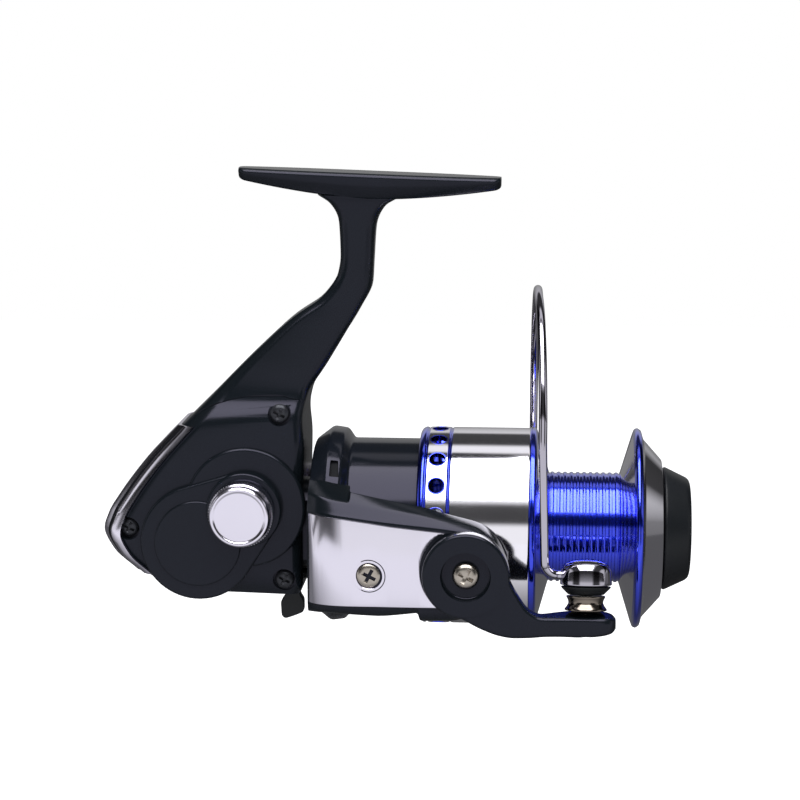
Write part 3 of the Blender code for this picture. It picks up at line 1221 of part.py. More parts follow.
def crank_arm(crank, handle):
    """Hub on the shaft, arm that steps outwards and runs to the knob."""
    hub = tube("crank_arm", CRANK_HUB_INNER, CRANK_HUB_OUTER, 6.4, crank, chamfer=0.6)
    place(hub, crank, (SILVER, 0.3, 1.0))
    middle = (CRANK_ARM_INNER + CRANK_ARM_OUTER) / 2
    start = CRANK_HUB_OUTER - 3.4
    rows = ((0.0, start, 5.6, 3.2), (6.0, start + 1.2, 5.4, 3.0),
            (11.0, (start + middle) / 2, 5.0, 2.8), (16.0, middle - 1.0, 4.8, 2.6),
            (21.0, middle, 4.7, 2.4), (40.0, middle, 4.5, 2.3),
            (CRANK_LENGTH - 4.0, middle, 4.8, 2.4), (CRANK_LENGTH + 2.5, middle, 4.6, 2.4),
            (CRANK_LENGTH + 5.4, middle, 2.6, 2.0))
    turn = Matrix.Rotation(math.radians(-CRANK_ANGLE), 4, "Y")
    origin = Vector((CRANK_X, 0, AXIS_Z + CRANK_RISE))
    rings = []
    for radius, y, height, thick in rows:
        ring = []
        for dz, dy in ((-height, -thick * 0.4), (-height * 0.6, -thick), (height * 0.6, -thick),
                       (height, -thick * 0.4), (height, thick * 0.4), (height * 0.6, thick),
                       (-height * 0.6, thick), (-height, thick * 0.4)):
            ring.append(origin + turn @ Vector((radius, y + dy, dz)))
        rings.append(ring)
    join(hub, loft("arm_bar", rings))
    cut(hub, tube("arm_bore", CRANK_HUB_INNER - 3, CRANK_HUB_OUTER - 1.0,
                  CRANK_BORE, crank, segments=20),
        tube("pin_bore", CRANK_ARM_INNER - 4, CRANK_ARM_OUTER + 4,
             HANDLE_PIN_RADIUS + RUNNING_GAP, handle, segments=16))


def handle_parts(handle):
    """Pin through the arm end, the knob that turns on it, and its end cap."""
    knob_start = CRANK_ARM_OUTER + 1.0
    knob_end = knob_start + HANDLE_KNOB_LENGTH
    r = HANDLE_KNOB_RADIUS
    head, pin_radius = CRANK_ARM_INNER - SEAT_GAP, HANDLE_PIN_RADIUS
    pin = turned("handle_pin", [(head - 1.0, 0), (head - 1.0, pin_radius + 1.4),
                                (head, pin_radius + 1.4), (head, pin_radius),
                                (knob_end - 4.0, pin_radius), (knob_end - 4.0, 0)], handle, 16)
    place(pin, handle, (STEEL, 0.25, 1.0))
    bore = pin_radius + RUNNING_GAP
    length = HANDLE_KNOB_LENGTH
    outline = [(knob_start, 4.6), (knob_start + 1.0, 5.4), (knob_start + 0.25 * length, r * 0.82),
               (knob_start + 0.5 * length, r), (knob_start + 0.75 * length, r * 0.98),
               (knob_end - 1.6, r * 0.78), (knob_end, r * 0.6), (knob_end, 4.2),
               (knob_end - 2.4, 4.2), (knob_end - 2.4, bore), (knob_start, bore)]
    place(turned("handle_knob", outline, handle, 20), handle, (RUBBER, 0.7, 0.0))
    place(tube("handle_knob_cap", knob_end - 2.1, knob_end + 0.3, 3.9, handle, chamfer=0.3,
               segments=16), handle, (SILVER, 0.25, 1.0))


# ---------------------------------------------------------------- assembly

def build():
    clear_scene()
    spool_axis = axis_empty("spool_axis", z=AXIS_Z, turn=ALONG_X)
    slide = axis_empty("slide_axis", z=AXIS_Z, turn=ALONG_X)
    crank = axis_empty("crank_axis", CRANK_X, 0, AXIS_Z + CRANK_RISE, ALONG_Y)
    osc = axis_empty("oscillation_axis", OSC_X, 0, AXIS_Z + OSC_RISE, ALONG_Y)
    lever = axis_empty("lever_axis", z=AXIS_Z + LEVER_RISE, turn=ALONG_X)
    pawl = axis_empty("pawl_axis", 0.0, PAWL_SIDE, AXIS_Z + PAWL_RISE, ALONG_X)
    pin = axis_empty("osc_pin_axis", OSC_X + STROKE / 2, 0.0, AXIS_Z + OSC_RISE, ALONG_Y)
    screws = [axis_empty("cover_screw_axis_%d" % (i + 1), x, 0.0, AXIS_Z + up, ALONG_Y)
              for i, (x, up) in enumerate(SCREW_PLACES)]
    bail_axes, plate_axes = {}, {}
    for label, turn in (("near", ALONG_Y), ("far", Matrix.Rotation(math.pi, 4, "Z") @ ALONG_Y)):
        bail_axes[label] = axis_empty("bail_axis_" + label, BAIL_PIVOT_X, 0,
                                      AXIS_Z + BAIL_PIVOT_RISE, turn)
        plate_axes[label] = axis_empty("plate_axis_" + label, PLATE_SCREW_X, 0,
                                       AXIS_Z + PLATE_SCREW_RISE, turn)
    bail = bail_axes["near"]
    tilt = Matrix.Rotation(math.radians(-ROLLER_TILT), 4, "X")
    roller = axis_empty("roller_axis", ROLLER_X, ROLLER_Y, AXIS_Z + ROLLER_RISE, tilt)
    angle = math.radians(CRANK_ANGLE)
    handle = axis_empty("handle_axis", CRANK_X + CRANK_LENGTH * math.cos(angle), 0,
                        AXIS_Z + CRANK_RISE + CRANK_LENGTH * math.sin(angle), ALONG_Y)

    body_housing(crank, osc, spool_axis, lever, screws)
    side_cover(crank, osc, screws)
    rear_guard()
    cover_screws(screws)
    bearing("crank_bearing_near", -CASE_HALF_WIDTH + CASE_WALL - CRANK_BEARING_WIDTH,
            CRANK_BEARING_WIDTH, CRANK_BEARING_OUTER, CRANK_BORE, crank)
    bearing("crank_bearing_far", CASE_HALF_WIDTH - CASE_WALL, CRANK_BEARING_WIDTH,
            CRANK_BEARING_OUTER, CRANK_BORE, crank)
    bearing("pinion_bearing", BEARING_SEAT_X, BEARING_WIDTH, BEARING_OUTER,
            SLEEVE_BORE, spool_axis)
    anti_reverse(spool_axis, pawl)
    anti_reverse_lever(lever)

    crank_shaft(crank)
    drive_gear(crank)
    oscillation_gears(crank, osc, pin)
    handle_screw_cap(crank)
    crank_arm(crank, handle)
    handle_parts(handle)

    pinion_gear(spool_axis)
    ratchet_wheel(spool_axis)
    rotor(spool_axis, bail_axes, plate_axes)
    rotor_nut(spool_axis)
    arm_plates(plate_axes)
    arm_screws(bail_axes, plate_axes)

    arm = bail_arm(bail)
    rim, cap = roller_parts(roller, arm)
    cap_up = ROLLER_RISE + (rim + 2.4) * math.cos(math.radians(ROLLER_TILT))
    wire_room = tube("wire_room", -20.0, 0.0, WIRE_RADIUS + 0.3,
                     axis_empty("wire_axis", ROLLER_X - CAP_RADIUS + 4.0, ROLLER_Y + 1.6,
                                AXIS_Z + cap_up, ALONG_X), segments=12)
    cut(cap, wire_room)
    bail_wire(cap_up, bail)
    bail_holder(bail)

    main_shaft(slide)
    oscillation_slider(slide)
    spool(slide)
    stack_end = drag_parts(slide)
    drag_spring(slide, stack_end)
    drag_knob(slide, stack_end)
    bpy.context.view_layer.update()


build()
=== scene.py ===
"""Open-face spinning reel: the finish of every surface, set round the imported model.

Lengths in this file are millimetres in the model's own frame: the origin is the
middle of the foot's seat face, +X runs forward along the spool, +Z is up and the
near side is -Y. Meshes are scaled to metres when they are made.
"""

import json
import math

import bmesh
import bpy
from bpy.props import FloatProperty, FloatVectorProperty, IntProperty, PointerProperty
from bpy.types import Operator, Panel, PropertyGroup
from mathutils import Matrix, Vector


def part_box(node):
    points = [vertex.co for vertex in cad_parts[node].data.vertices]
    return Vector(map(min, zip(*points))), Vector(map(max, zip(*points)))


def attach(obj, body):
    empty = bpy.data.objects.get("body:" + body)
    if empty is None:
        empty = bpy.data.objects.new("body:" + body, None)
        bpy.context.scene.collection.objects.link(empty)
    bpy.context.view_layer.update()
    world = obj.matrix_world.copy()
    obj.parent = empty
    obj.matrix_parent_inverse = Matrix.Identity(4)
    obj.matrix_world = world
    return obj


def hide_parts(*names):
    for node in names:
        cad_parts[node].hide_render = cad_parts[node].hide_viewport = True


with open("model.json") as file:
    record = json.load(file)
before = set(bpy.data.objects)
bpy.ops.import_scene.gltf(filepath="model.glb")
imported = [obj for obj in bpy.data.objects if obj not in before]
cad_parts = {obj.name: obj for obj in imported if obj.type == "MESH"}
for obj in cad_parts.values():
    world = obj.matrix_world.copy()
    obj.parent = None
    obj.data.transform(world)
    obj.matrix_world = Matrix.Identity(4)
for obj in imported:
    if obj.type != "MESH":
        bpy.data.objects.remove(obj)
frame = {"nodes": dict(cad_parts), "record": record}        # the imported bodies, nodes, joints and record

bl_info = {
    "name": "Spinning Reel",
    "version": (1, 0, 0),
    "blender": (4, 5, 0),
    "location": "3D View > Sidebar > Reel",
    "description": "Builds the finished surfaces of a spinning reel round its packed model",
    "category": "Add Mesh",
}

MM = 0.001


# ------------------------------------------------------- places from the frame

def middle(node):
    """Middle of a node's box."""
    low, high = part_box(node)
    return (low + high) / 2 / MM


def reach(node, axis, side):
    """Lowest (side 0) or highest (side 1) value of a node along an axis."""
    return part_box(node)[side][axis] / MM


# Axes and screws
AXIS_Z = middle("main_shaft").z
CRANK = middle("crank_shaft")
OSCILLATION = middle("oscillation_axle")
PIVOT = middle("bail_pivot_screw_near")
HANDLE = middle("handle_pin")
PLATE_SCREW = middle("plate_screw_near")
COVER_SCREWS = ("cover_screw_1", "cover_screw_2", "cover_screw_3")

# Foot, case and side cover, faces along Y
FOOT_REAR_X = -33.5
FOOT_LENGTH = 67.0
FOOT_SLOPE = math.tan(math.radians(2.0))
COVER_PLANE = -9.0
BOSS_RADIUS = 15.6
BOSS_FACE = -14.2
LOBE_RADIUS = 15.0
LOBE_FACE = -15.2
COLLAR_RADIUS = 9.7
COLLAR_FACE = -17.2
LEVER_RISE = -13.9

# Crank and its screw cap, along Y
CAP_FACE_Y = reach("handle_screw_cap", 1, 0)
CAP_BACK_Y = reach("handle_screw_cap", 1, 1)
CRANK_HUB_INNER = reach("crank_arm", 1, 0)
CRANK_ARM_OUTER = reach("crank_arm", 1, 1)

# Rotor: its turned cup and flange, and the arms' faces from the middle plane
ROTOR_REAR_X = reach("rotor", 0, 0)
ROTOR_FRONT_X = 17.0
CUP_RADIUS = 22.5
CUP_WALL = 2.2
FLANGE_RADIUS = 25.6
ARM_INNER = 26.6
ARM_OUTER = 32.4

# Bail: hub, roller stack, wire and far holder
HUB_INNER = 32.7
HUB_OUTER = -reach("bail_arm", 1, 0) - 1.2
HUB_RADIUS = 10.8
ROLLER_FOOT = Vector((56.0, -33.9, AXIS_Z - 13.3))
ROLLER_LEAN = math.radians(12.0)
CAP_RADIUS = 6.3
WIRE_RADIUS = 1.08
WIRE_BEND = 3.6
HOLDER_Y = 34.9
BAIL_APEX = Vector((43.2, 0.5, AXIS_Z + 62.0))

# Spool and drag knob, stations along X
SKIRT_RADIUS = 25.6
SKIRT_WALL = 1.5
SKIRT_REAR_X = reach("spool", 0, 0)
BAND_REAR_X = 15.3
BAND_FRONT_X = 21.3
SKIRT_FRONT_X = 41.6
CORE_REAR_X = 46.6
CORE_FRONT_X = 64.8
CORE_RADIUS = 14.3
LIP_RADIUS = 26.0
DISH_FRONT_X = reach("spool", 0, 1)
KNOB_REAR_X = 75.9
KNOB_FRONT_X = reach("drag_knob", 0, 1)

ALONG_X = Matrix.Rotation(math.radians(90), 4, "Y")
ALONG_Y = Matrix.Rotation(math.radians(-90), 4, "X")


def at(x, y, z, turn=Matrix.Identity(4)):
    """Matrix that puts a local Z axis at a place, in millimetres."""
    return Matrix.Translation(Vector((x, y, z))) @ turn


ON_SPOOL = at(0, 0, AXIS_Z, ALONG_X)
ON_CRANK = at(CRANK.x, 0, CRANK.z, ALONG_Y)
ON_OSCILLATION = at(OSCILLATION.x, 0, OSCILLATION.z, ALONG_Y)
ON_PIVOT = at(PIVOT.x, 0, PIVOT.z, ALONG_Y)
ON_HANDLE = at(HANDLE.x, 0, HANDLE.z, ALONG_Y)
ON_ROLLER = Matrix.Translation(ROLLER_FOOT) @ Matrix.Rotation(-ROLLER_LEAN, 4, "X")


def facing(side):
    """Turn that points a local Z axis inwards from the near (-1) or far (1) side."""
    return Matrix.Rotation(0 if side < 0 else math.pi, 4, "Z") @ ALONG_Y


# ------------------------------------------------------------------ curves

def arc(cx, cy, radius, start, end, steps):
    """Points on a circle, angles in degrees, both ends included."""
    points = []
    for i in range(steps + 1):
        angle = math.radians(start + (end - start) * i / steps)
        points.append((cx + radius * math.cos(angle), cy + radius * math.sin(angle)))
    return points


def rounded(outline, radius, steps=4, closed=False):
    """The outline with its corners rounded, an open outline keeps its ends."""
    count = len(outline)
    result = []
    for i, corner in enumerate(outline):
        if not closed and i in (0, count - 1):
            result.append(tuple(corner))
            continue
        here = Vector(corner)
        before = Vector(outline[i - 1]) - here
        after = Vector(outline[(i + 1) % count]) - here
        turn = before.angle(-after, 0.0)
        if turn < math.radians(8) and not closed:
            result.append(tuple(corner))
            continue
        back = before.normalized() * min(radius, 0.42 * before.length)
        on = after.normalized() * min(radius, 0.42 * after.length)
        for k in range(steps + 1):
            t = k / steps
            point = here + back * (1 - t) ** 2 + on * t ** 2
            result.append(tuple(point))
    return result


def belt(first, r1, second, r2, steps=40):
    """Outline round two circles and their outer tangents."""
    dx, dy = second[0] - first[0], second[1] - first[1]
    heading = math.degrees(math.atan2(dy, dx))
    side = math.degrees(math.acos((r1 - r2) / math.hypot(dx, dy)))
    return (arc(*first, r1, heading + side, heading + 360 - side, steps)
            + arc(*second, r2, heading - side, heading + side, steps))


def eased(rows, steps):
    """Rows of numbers with smooth rows between them that never overshoot."""
    count, width = len(rows), len(rows[0])
    slopes = []
    for i in range(count):
        slope = []
        for k in range(width):
            left = rows[i][k] - rows[max(i - 1, 0)][k]
            right = rows[min(i + 1, count - 1)][k] - rows[i][k]
            if i in (0, count - 1):
                slope.append(left + right)
            else:
                slope.append(2 * left * right / (left + right) if left * right > 0 else 0.0)
        slopes.append(slope)
    result = []
    for i in range(count - 1):
        for s in range(steps):
            t = s / steps
            a, b = 2 * t ** 3 - 3 * t ** 2 + 1, t ** 3 - 2 * t ** 2 + t
            c, d = 3 * t ** 2 - 2 * t ** 3, t ** 3 - t ** 2
            result.append(tuple(a * rows[i][k] + b * slopes[i][k] + c * rows[i + 1][k]
                                + d * slopes[i + 1][k] for k in range(width)))
    result.append(tuple(rows[-1]))
    return result


def smooth_path(points, steps=6):
    """A curve through the points."""
    ends = [2 * points[0] - points[1], *points, 2 * points[-1] - points[-2]]
    path = []
    for p0, p1, p2, p3 in zip(ends, ends[1:], ends[2:], ends[3:]):
        for k in range(steps):
            t = k / steps
            path.append(0.5 * (2 * p1 + (p2 - p0) * t + (2 * p0 - 5 * p1 + 4 * p2 - p3) * t ** 2
                               + (3 * p1 - p0 - 3 * p2 + p3) * t ** 3))
    path.append(points[-1])
    return path


# ------------------------------------------------------------------ mesh tools

def as_object(name, bm):
    """A bmesh in millimetres as an object in metres, its faces turned outwards."""
    bmesh.ops.scale(bm, vec=(MM, MM, MM), verts=bm.verts)
    bmesh.ops.recalc_face_normals(bm, faces=bm.faces)
    if bm.calc_volume(signed=True) < 0:
        bmesh.ops.reverse_faces(bm, faces=bm.faces)
    mesh = bpy.data.meshes.new(name)
    bm.to_mesh(mesh)
    bm.free()
    item = bpy.data.objects.new(name, mesh)
    bpy.context.scene.collection.objects.link(item)
    return item


def skin(name, rings, place=Matrix.Identity(4)):
    """A skin through rings of equal point counts, its ends closed."""
    bm = bmesh.new()
    rows = [[bm.verts.new(place @ Vector(p)) for p in ring] for ring in rings]
    count = len(rows[0])
    for low, high in zip(rows, rows[1:]):
        for i in range(count):
            j = (i + 1) % count
            bm.faces.new((low[i], low[j], high[j], high[i]))
    bm.faces.new(rows[0][::-1])
    bm.faces.new(rows[-1])
    return as_object(name, bm)


def turned(name, outline, place, steps=96):
    """Outline of (station, radius) points spun round the place's Z axis."""
    bm = bmesh.new()
    rows = []
    for station, radius in outline:
        if radius < 1e-6:
            rows.append([bm.verts.new(place @ Vector((0, 0, station)))] * steps)
            continue
        rows.append([bm.verts.new(place @ Vector((radius * math.cos(2 * math.pi * i / steps),
                                                  radius * math.sin(2 * math.pi * i / steps),
                                                  station))) for i in range(steps)])
    pairs = list(zip(rows, rows[1:]))
    if outline[0][1] > 0 or outline[-1][1] > 0:
        pairs.append((rows[-1], rows[0]))
    for low, high in pairs:
        for i in range(steps):
            j = (i + 1) % steps
            corners = []
            for vert in (low[i], low[j], high[j], high[i]):
                if vert not in corners:
                    corners.append(vert)
            if len(corners) > 2:
                bm.faces.new(corners)
    return as_object(name, bm)


def drum(name, start, end, radius, place, edge=0.0, steps=96):
    """A round block from one station to another, its rims rounded by edge."""
    outline = [(start, 0), (start, radius), (end, radius), (end, 0)]
    return turned(name, rounded(outline, edge) if edge else outline, place, steps)


def slab(name, outline, start, end, edge, place, steps=3):
    """A flat outline extruded along the place's Z axis, its edges rounded."""
    count = len(outline)
    outward = []
    for i, point in enumerate(outline):
        along = Vector(outline[(i + 1) % count]) - Vector(outline[i - 1])
        outward.append(Vector((along.y, -along.x)).normalized())
    area = sum(a[0] * b[1] - a[1] * b[0] for a, b in zip(outline, outline[1:] + outline[:1]))
    sign = 1.0 if area > 0 else -1.0
    rings = []
    levels = [(start + edge * (1 - math.sin(math.radians(90 * k / steps))),
               edge * (1 - math.cos(math.radians(90 * k / steps)))) for k in range(steps, -1, -1)]
    levels += [(end - (station - start), inset) for station, inset in levels[::-1]]
    for station, inset in levels:
        ring = []
        for point, normal in zip(outline, outward):
            moved = Vector(point) - normal * inset * sign
            ring.append((moved.x, moved.y, station))
        rings.append(ring)
    return skin(name, rings, place)


def side_slab(name, outline, start, end, edge, steps=3):
    """An outline of (x, z) points extruded across Y."""
    flat = [(x, -z) for x, z in outline]
    return slab(name, flat, start, end, edge, ALONG_Y, steps)


def tube(name, points, radius, sides=20):
    """Round wire along a path, its ends closed."""
    path = [Vector(p) for p in points]
    rings = []
    across = None
    for i, point in enumerate(path):
        heading = (path[min(i + 1, len(path) - 1)] - path[max(i - 1, 0)]).normalized()
        if across is None:
            across = heading.orthogonal().normalized()
        across = (across - heading * across.dot(heading)).normalized()
        up = heading.cross(across)
        rings.append([point + (across * math.cos(2 * math.pi * k / sides)
                               + up * math.sin(2 * math.pi * k / sides)) * radius
                      for k in range(sides)])
    return skin(name, rings)


def remake(item):
    """The evaluated object as a plain mesh, in place of its modifiers."""
    bpy.context.view_layer.update()
    graph = bpy.context.evaluated_depsgraph_get()
    mesh = bpy.data.meshes.new_from_object(item.evaluated_get(graph))
    if not mesh.polygons:
        raise RuntimeError(item.name + " came out empty")
    item.modifiers.clear()
    item.data = mesh
    return item


def carve(item, other, operation="DIFFERENCE", its_material=False):
    """Cuts with another solid, which is used up. Cut faces can keep its material."""
    modifier = item.modifiers.new("carve", "BOOLEAN")
    modifier.material_mode = "TRANSFER" if its_material else "INDEX"
    modifier.operation = operation
    modifier.solver = "EXACT"
    modifier.object = other
    remake(item)
    bpy.data.objects.remove(other, do_unlink=True)


def join(item, *others):
    """Makes one solid of the item and the others, which are used up."""
    for other in others:
        carve(item, other, "UNION")


def soften(item, width, segments=2, angle=40.0):
    """Rounds the sharp edges."""
    modifier = item.modifiers.new("edges", "BEVEL")
    modifier.width = width * MM
    modifier.segments = segments
    modifier.limit_method = "ANGLE"
    modifier.angle_limit = math.radians(angle)
    return remake(item)


def finish(item, material, body, slot, *nodes, angle=38.0):
    """Gives a piece its material and smooth shading and seats it on its body."""
    if material is not None:
        item.data.materials.clear()
        item.data.materials.append(material)
    item.data.shade_smooth()
    item.data.set_sharp_from_angle(angle=math.radians(angle))
    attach(item, body)
    if nodes:
        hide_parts(*nodes)
    return item


# --------------------------------------------------------------- node trees

def add(tree, kind, inputs=None, **settings):
    """Adds a node with its settings. An input's value may be another node's output."""
    node = tree.nodes.new(kind)
    for key, value in settings.items():
        setattr(node, key, value)
    for key, value in (inputs or {}).items():
        if isinstance(value, bpy.types.NodeSocket):
            tree.links.new(value, node.inputs[key])
        else:
            node.inputs[key].default_value = value
    return node


def new_tree(name, sockets):
    """A geometry tree with named inputs, and its group input node."""
    tree = bpy.data.node_groups.new(name, "GeometryNodeTree")
    tree.interface.new_socket("Geometry", in_out="OUTPUT", socket_type="NodeSocketGeometry")
    for label, kind in sockets:
        tree.interface.new_socket(label, in_out="INPUT", socket_type=kind)
    return tree, add(tree, "NodeGroupInput").outputs


def end_tree(tree, points, inputs, rotation=None):
    """Puts copies on the points, makes them real and gives them their material."""
    copy = add(tree, "GeometryNodeObjectInfo", {"Object": inputs["Copy"]})
    placed = add(tree, "GeometryNodeInstanceOnPoints",
                 {"Points": points, "Instance": copy.outputs["Geometry"]})
    if rotation is not None:
        tree.links.new(rotation, placed.inputs["Rotation"])
    real = add(tree, "GeometryNodeRealizeInstances", {"Geometry": placed.outputs["Instances"]})
    done = add(tree, "GeometryNodeSetMaterial",
               {"Geometry": real.outputs["Geometry"], "Material": inputs["Material"]})
    add(tree, "NodeGroupOutput", {"Geometry": done.outputs["Geometry"]})
    return tree


def ring_tree():
    """Copies spaced by a pitch angle on a ring round the Z axis."""
    tree, inputs = new_tree("copies_on_a_ring", (
        ("Count", "NodeSocketInt"), ("Radius", "NodeSocketFloat"),
        ("Pitch", "NodeSocketFloat"), ("Start", "NodeSocketFloat"),
        ("Copy", "NodeSocketObject"), ("Material", "NodeSocketMaterial")))
    line = add(tree, "GeometryNodeMeshLine", {"Count": inputs["Count"], "Offset": (0, 0, 0)})
    index = add(tree, "GeometryNodeInputIndex")
    angle = add(tree, "ShaderNodeMath", {0: index.outputs[0], 1: inputs["Pitch"],
                                         2: inputs["Start"]}, operation="MULTIPLY_ADD")
    across = add(tree, "ShaderNodeMath", {0: angle.outputs[0]}, operation="COSINE")
    up = add(tree, "ShaderNodeMath", {0: angle.outputs[0]}, operation="SINE")
    unit = add(tree, "ShaderNodeCombineXYZ", {"X": across.outputs[0], "Y": up.outputs[0]})
    spot = add(tree, "ShaderNodeVectorMath", {0: unit.outputs[0], "Scale": inputs["Radius"]},
               operation="SCALE")
    points = add(tree, "GeometryNodeSetPosition", {"Geometry": line.outputs["Mesh"],
                                                   "Position": spot.outputs[0]})
    turn = add(tree, "ShaderNodeCombineXYZ", {"Z": angle.outputs[0]})
    return end_tree(tree, points.outputs["Geometry"], inputs, turn.outputs[0])


def row_tree():
    """Copies in a row along the Z axis."""
    tree, inputs = new_tree("copies_in_a_row", (
        ("Count", "NodeSocketInt"), ("Start", "NodeSocketFloat"),
        ("Spacing", "NodeSocketFloat"), ("Copy", "NodeSocketObject"),
        ("Material", "NodeSocketMaterial")))
    start = add(tree, "ShaderNodeCombineXYZ", {"Z": inputs["Start"]})
    step = add(tree, "ShaderNodeCombineXYZ", {"Z": inputs["Spacing"]})
    line = add(tree, "GeometryNodeMeshLine", {"Count": inputs["Count"],
                                              "Start Location": start.outputs[0],
                                              "Offset": step.outputs[0]})
    return end_tree(tree, line.outputs["Mesh"], inputs)


def places_tree():
    """Copies at the places of the object's own points."""
    tree, inputs = new_tree("copies_at_places", (
        ("Places", "NodeSocketObject"), ("Copy", "NodeSocketObject"),
        ("Material", "NodeSocketMaterial")))
    places = add(tree, "GeometryNodeObjectInfo", {"Object": inputs["Places"]})
    return end_tree(tree, places.outputs["Geometry"], inputs)


def copies(name, tree, copy, material, place, **values):
    """Runs a tree and leaves its result as a plain mesh; the copy is used up."""
    item = bpy.data.objects.new(name, bpy.data.meshes.new(name))
    bpy.context.scene.collection.objects.link(item)
    modifier = item.modifiers.new(name, "NODES")
    modifier.node_group = tree
    values.update(Copy=copy, Material=material)
    for socket in tree.interface.items_tree:
        if socket.item_type == "SOCKET" and socket.in_out == "INPUT":
            modifier[socket.identifier] = values[socket.name]
    remake(item)
    moved = place.copy()
    moved.translation *= MM
    item.data.transform(moved)
    bpy.data.objects.remove(copy, do_unlink=True)
    return item


# ------------------------------------------------------------------ materials

def linear(code):
    """An sRGB hex colour as linear red, green, blue and alpha."""
    values = []
    for i in (1, 3, 5):
        c = int(code[i:i + 2], 16) / 255
        values.append(c / 12.92 if c <= 0.04045 else ((c + 0.055) / 1.055) ** 2.4)
    return (*values, 1.0)


def surface(name, base, roughness, metallic, wear, grain=None, drift=None, **shader_values):
    """A Principled surface with patterns of real sizes, in millimetres.

    wear is (patch size, change of roughness), grain is (size, height, stretch) of a
    fine bump and drift is (other colour, patch size, its largest share).
    """
    made = bpy.data.materials.new(name)
    made.use_nodes = True
    tree = made.node_tree
    tree.nodes.clear()
    coords = add(tree, "ShaderNodeTexCoord").outputs["Object"]
    size, change = wear
    patch = add(tree, "ShaderNodeTexNoise", {"Vector": coords, "Scale": 1 / (size * MM),
                                             "Detail": 3.0})
    rough = add(tree, "ShaderNodeMapRange", {"Value": patch.outputs["Fac"],
                                             "To Min": roughness - change,
                                             "To Max": roughness + change})
    values = {"Base Color": base, "Metallic": metallic, "Roughness": rough.outputs["Result"]}
    if grain:
        size, height, stretch = grain
        fine = add(tree, "ShaderNodeMapping", {"Vector": coords, "Scale": (stretch, 1.0, 1.0)})
        bumps = add(tree, "ShaderNodeTexNoise", {"Vector": fine.outputs["Vector"],
                                                 "Scale": 1 / (size * MM), "Detail": 2.0})
        bump = add(tree, "ShaderNodeBump", {"Height": bumps.outputs["Fac"], "Strength": 1.0,
                                            "Distance": height * MM})
        values["Normal"] = bump.outputs["Normal"]
    if drift:
        colour, size, share = drift
        spots = add(tree, "ShaderNodeTexNoise", {"Vector": coords, "Scale": 1 / (size * MM),
                                                 "Detail": 2.0})
        amount = add(tree, "ShaderNodeMapRange", {"Value": spots.outputs["Fac"],
                                                  "To Max": share})
        mix = add(tree, "ShaderNodeMix", {"Factor": amount.outputs["Result"], "A": base,
                                          "B": colour}, data_type="RGBA")
        values["Base Color"] = mix.outputs["Result"]
    values.update(shader_values)
    shader = add(tree, "ShaderNodeBsdfPrincipled", values)
    add(tree, "ShaderNodeOutputMaterial", {"Surface": shader.outputs["BSDF"]})
    return made


def look():
    """The colours and gloss set in the sidebar."""
    return bpy.context.scene.reel_look


def lacquer():
    """What all black lacquer shares: its gloss, with a faint lavender tint."""
    return {"Specular IOR Level": look().lacquer_gloss, "Specular Tint": linear("#d9d4f2")}


def gloss_lacquer():
    """Die-cast body in clear-coated black lacquer: deep, with slight orange peel."""
    return surface("black_lacquer_on_casting", linear("#0a0e10"), 0.2, 0.0, (14.0, 0.03),
                   (1.6, 0.0035, 1.0), (linear("#0d1116"), 20.0, 0.8), **lacquer())


def cylinder_lacquer():
    """The same lacquer on the turned rotor, flatter and glossier."""
    return surface("black_lacquer_on_turning", linear("#0d1013"), 0.14, 0.0, (12.0, 0.02),
                   (1.6, 0.002, 1.0), (linear("#10131c"), 20.0, 0.8), **lacquer())


def satin_plastic():
    """Moulded black nylon with a fine matt spark texture."""
    return surface("satin_black_nylon", linear("#0a0d0f"), 0.4, 0.0, (5.0, 0.05),
                   (0.35, 0.006, 1.0), (linear("#0e1016"), 9.0, 0.7),
                   **{"Specular IOR Level": 0.22})


def plated_silver():
    """Satin nickel plate on a moulding, faintly lavender, soft broad reflections."""
    return surface("satin_nickel_plate", (*look().plate_colour, 1.0), 0.17, 1.0, (8.0, 0.02),
                   (0.5, 0.0006, 1.0), (linear("#cbc6d8"), 30.0, 0.5))


def bright_trim():
    """Mirror chrome plate with the faint waviness of plated plastic."""
    return surface("bright_chrome_plate", linear("#e3e1ea"), 0.09, 1.0, (6.0, 0.03),
                   (3.0, 0.003, 1.0))


def polished_aluminium():
    """Diamond-turned aluminium skirt: near mirror, fine turning lines round the axis."""
    return surface("diamond_turned_aluminium", linear("#eceaf2"), 0.1, 1.0, (9.0, 0.03),
                   (0.12, 0.0006, 8.0))


def anodised_blue():
    """Blue anodised aluminium: a clear oxide over dyed metal, whitish where it catches light."""
    return surface("blue_anodised_aluminium", (*look().spool_blue, 1.0), 0.16, 1.0, (6.0, 0.04),
                   (0.14, 0.0008, 6.0), (linear("#06239a"), 12.0, 0.5),
                   **{"Coat Weight": 1.0, "Coat Roughness": 0.08, "Coat IOR": 1.6})


def chrome_wire():
    """Polished stainless steel: crisp, a little darker than chrome."""
    return surface("polished_stainless_steel", linear("#b1aeba"), 0.07, 1.0, (4.0, 0.02))


def screw_nickel():
    """Nickel-plated screw heads, warm grey and slightly rough from the tool."""
    return surface("nickel_plated_screw", linear("#b9b1a8"), 0.26, 1.0, (2.5, 0.07),
                   (0.25, 0.002, 1.0), (linear("#8d8781"), 2.0, 0.7))


def turned_steel():
    """Turned steel of shafts, washers and bearings: fine machining lines."""
    return surface("turned_steel", linear("#b3b5b9"), 0.28, 1.0, (3.0, 0.06),
                   (0.15, 0.001, 1.0), (linear("#8f9297"), 4.0, 0.6))


def blackened_steel():
    """Black oxide on the cover's screws: dark, with bare metal showing through in spots."""
    return surface("black_oxide_steel", linear("#1b1d22"), 0.34, 0.7, (1.5, 0.08),
                   (0.2, 0.002, 1.0), (linear("#4a4b52"), 1.2, 0.5))


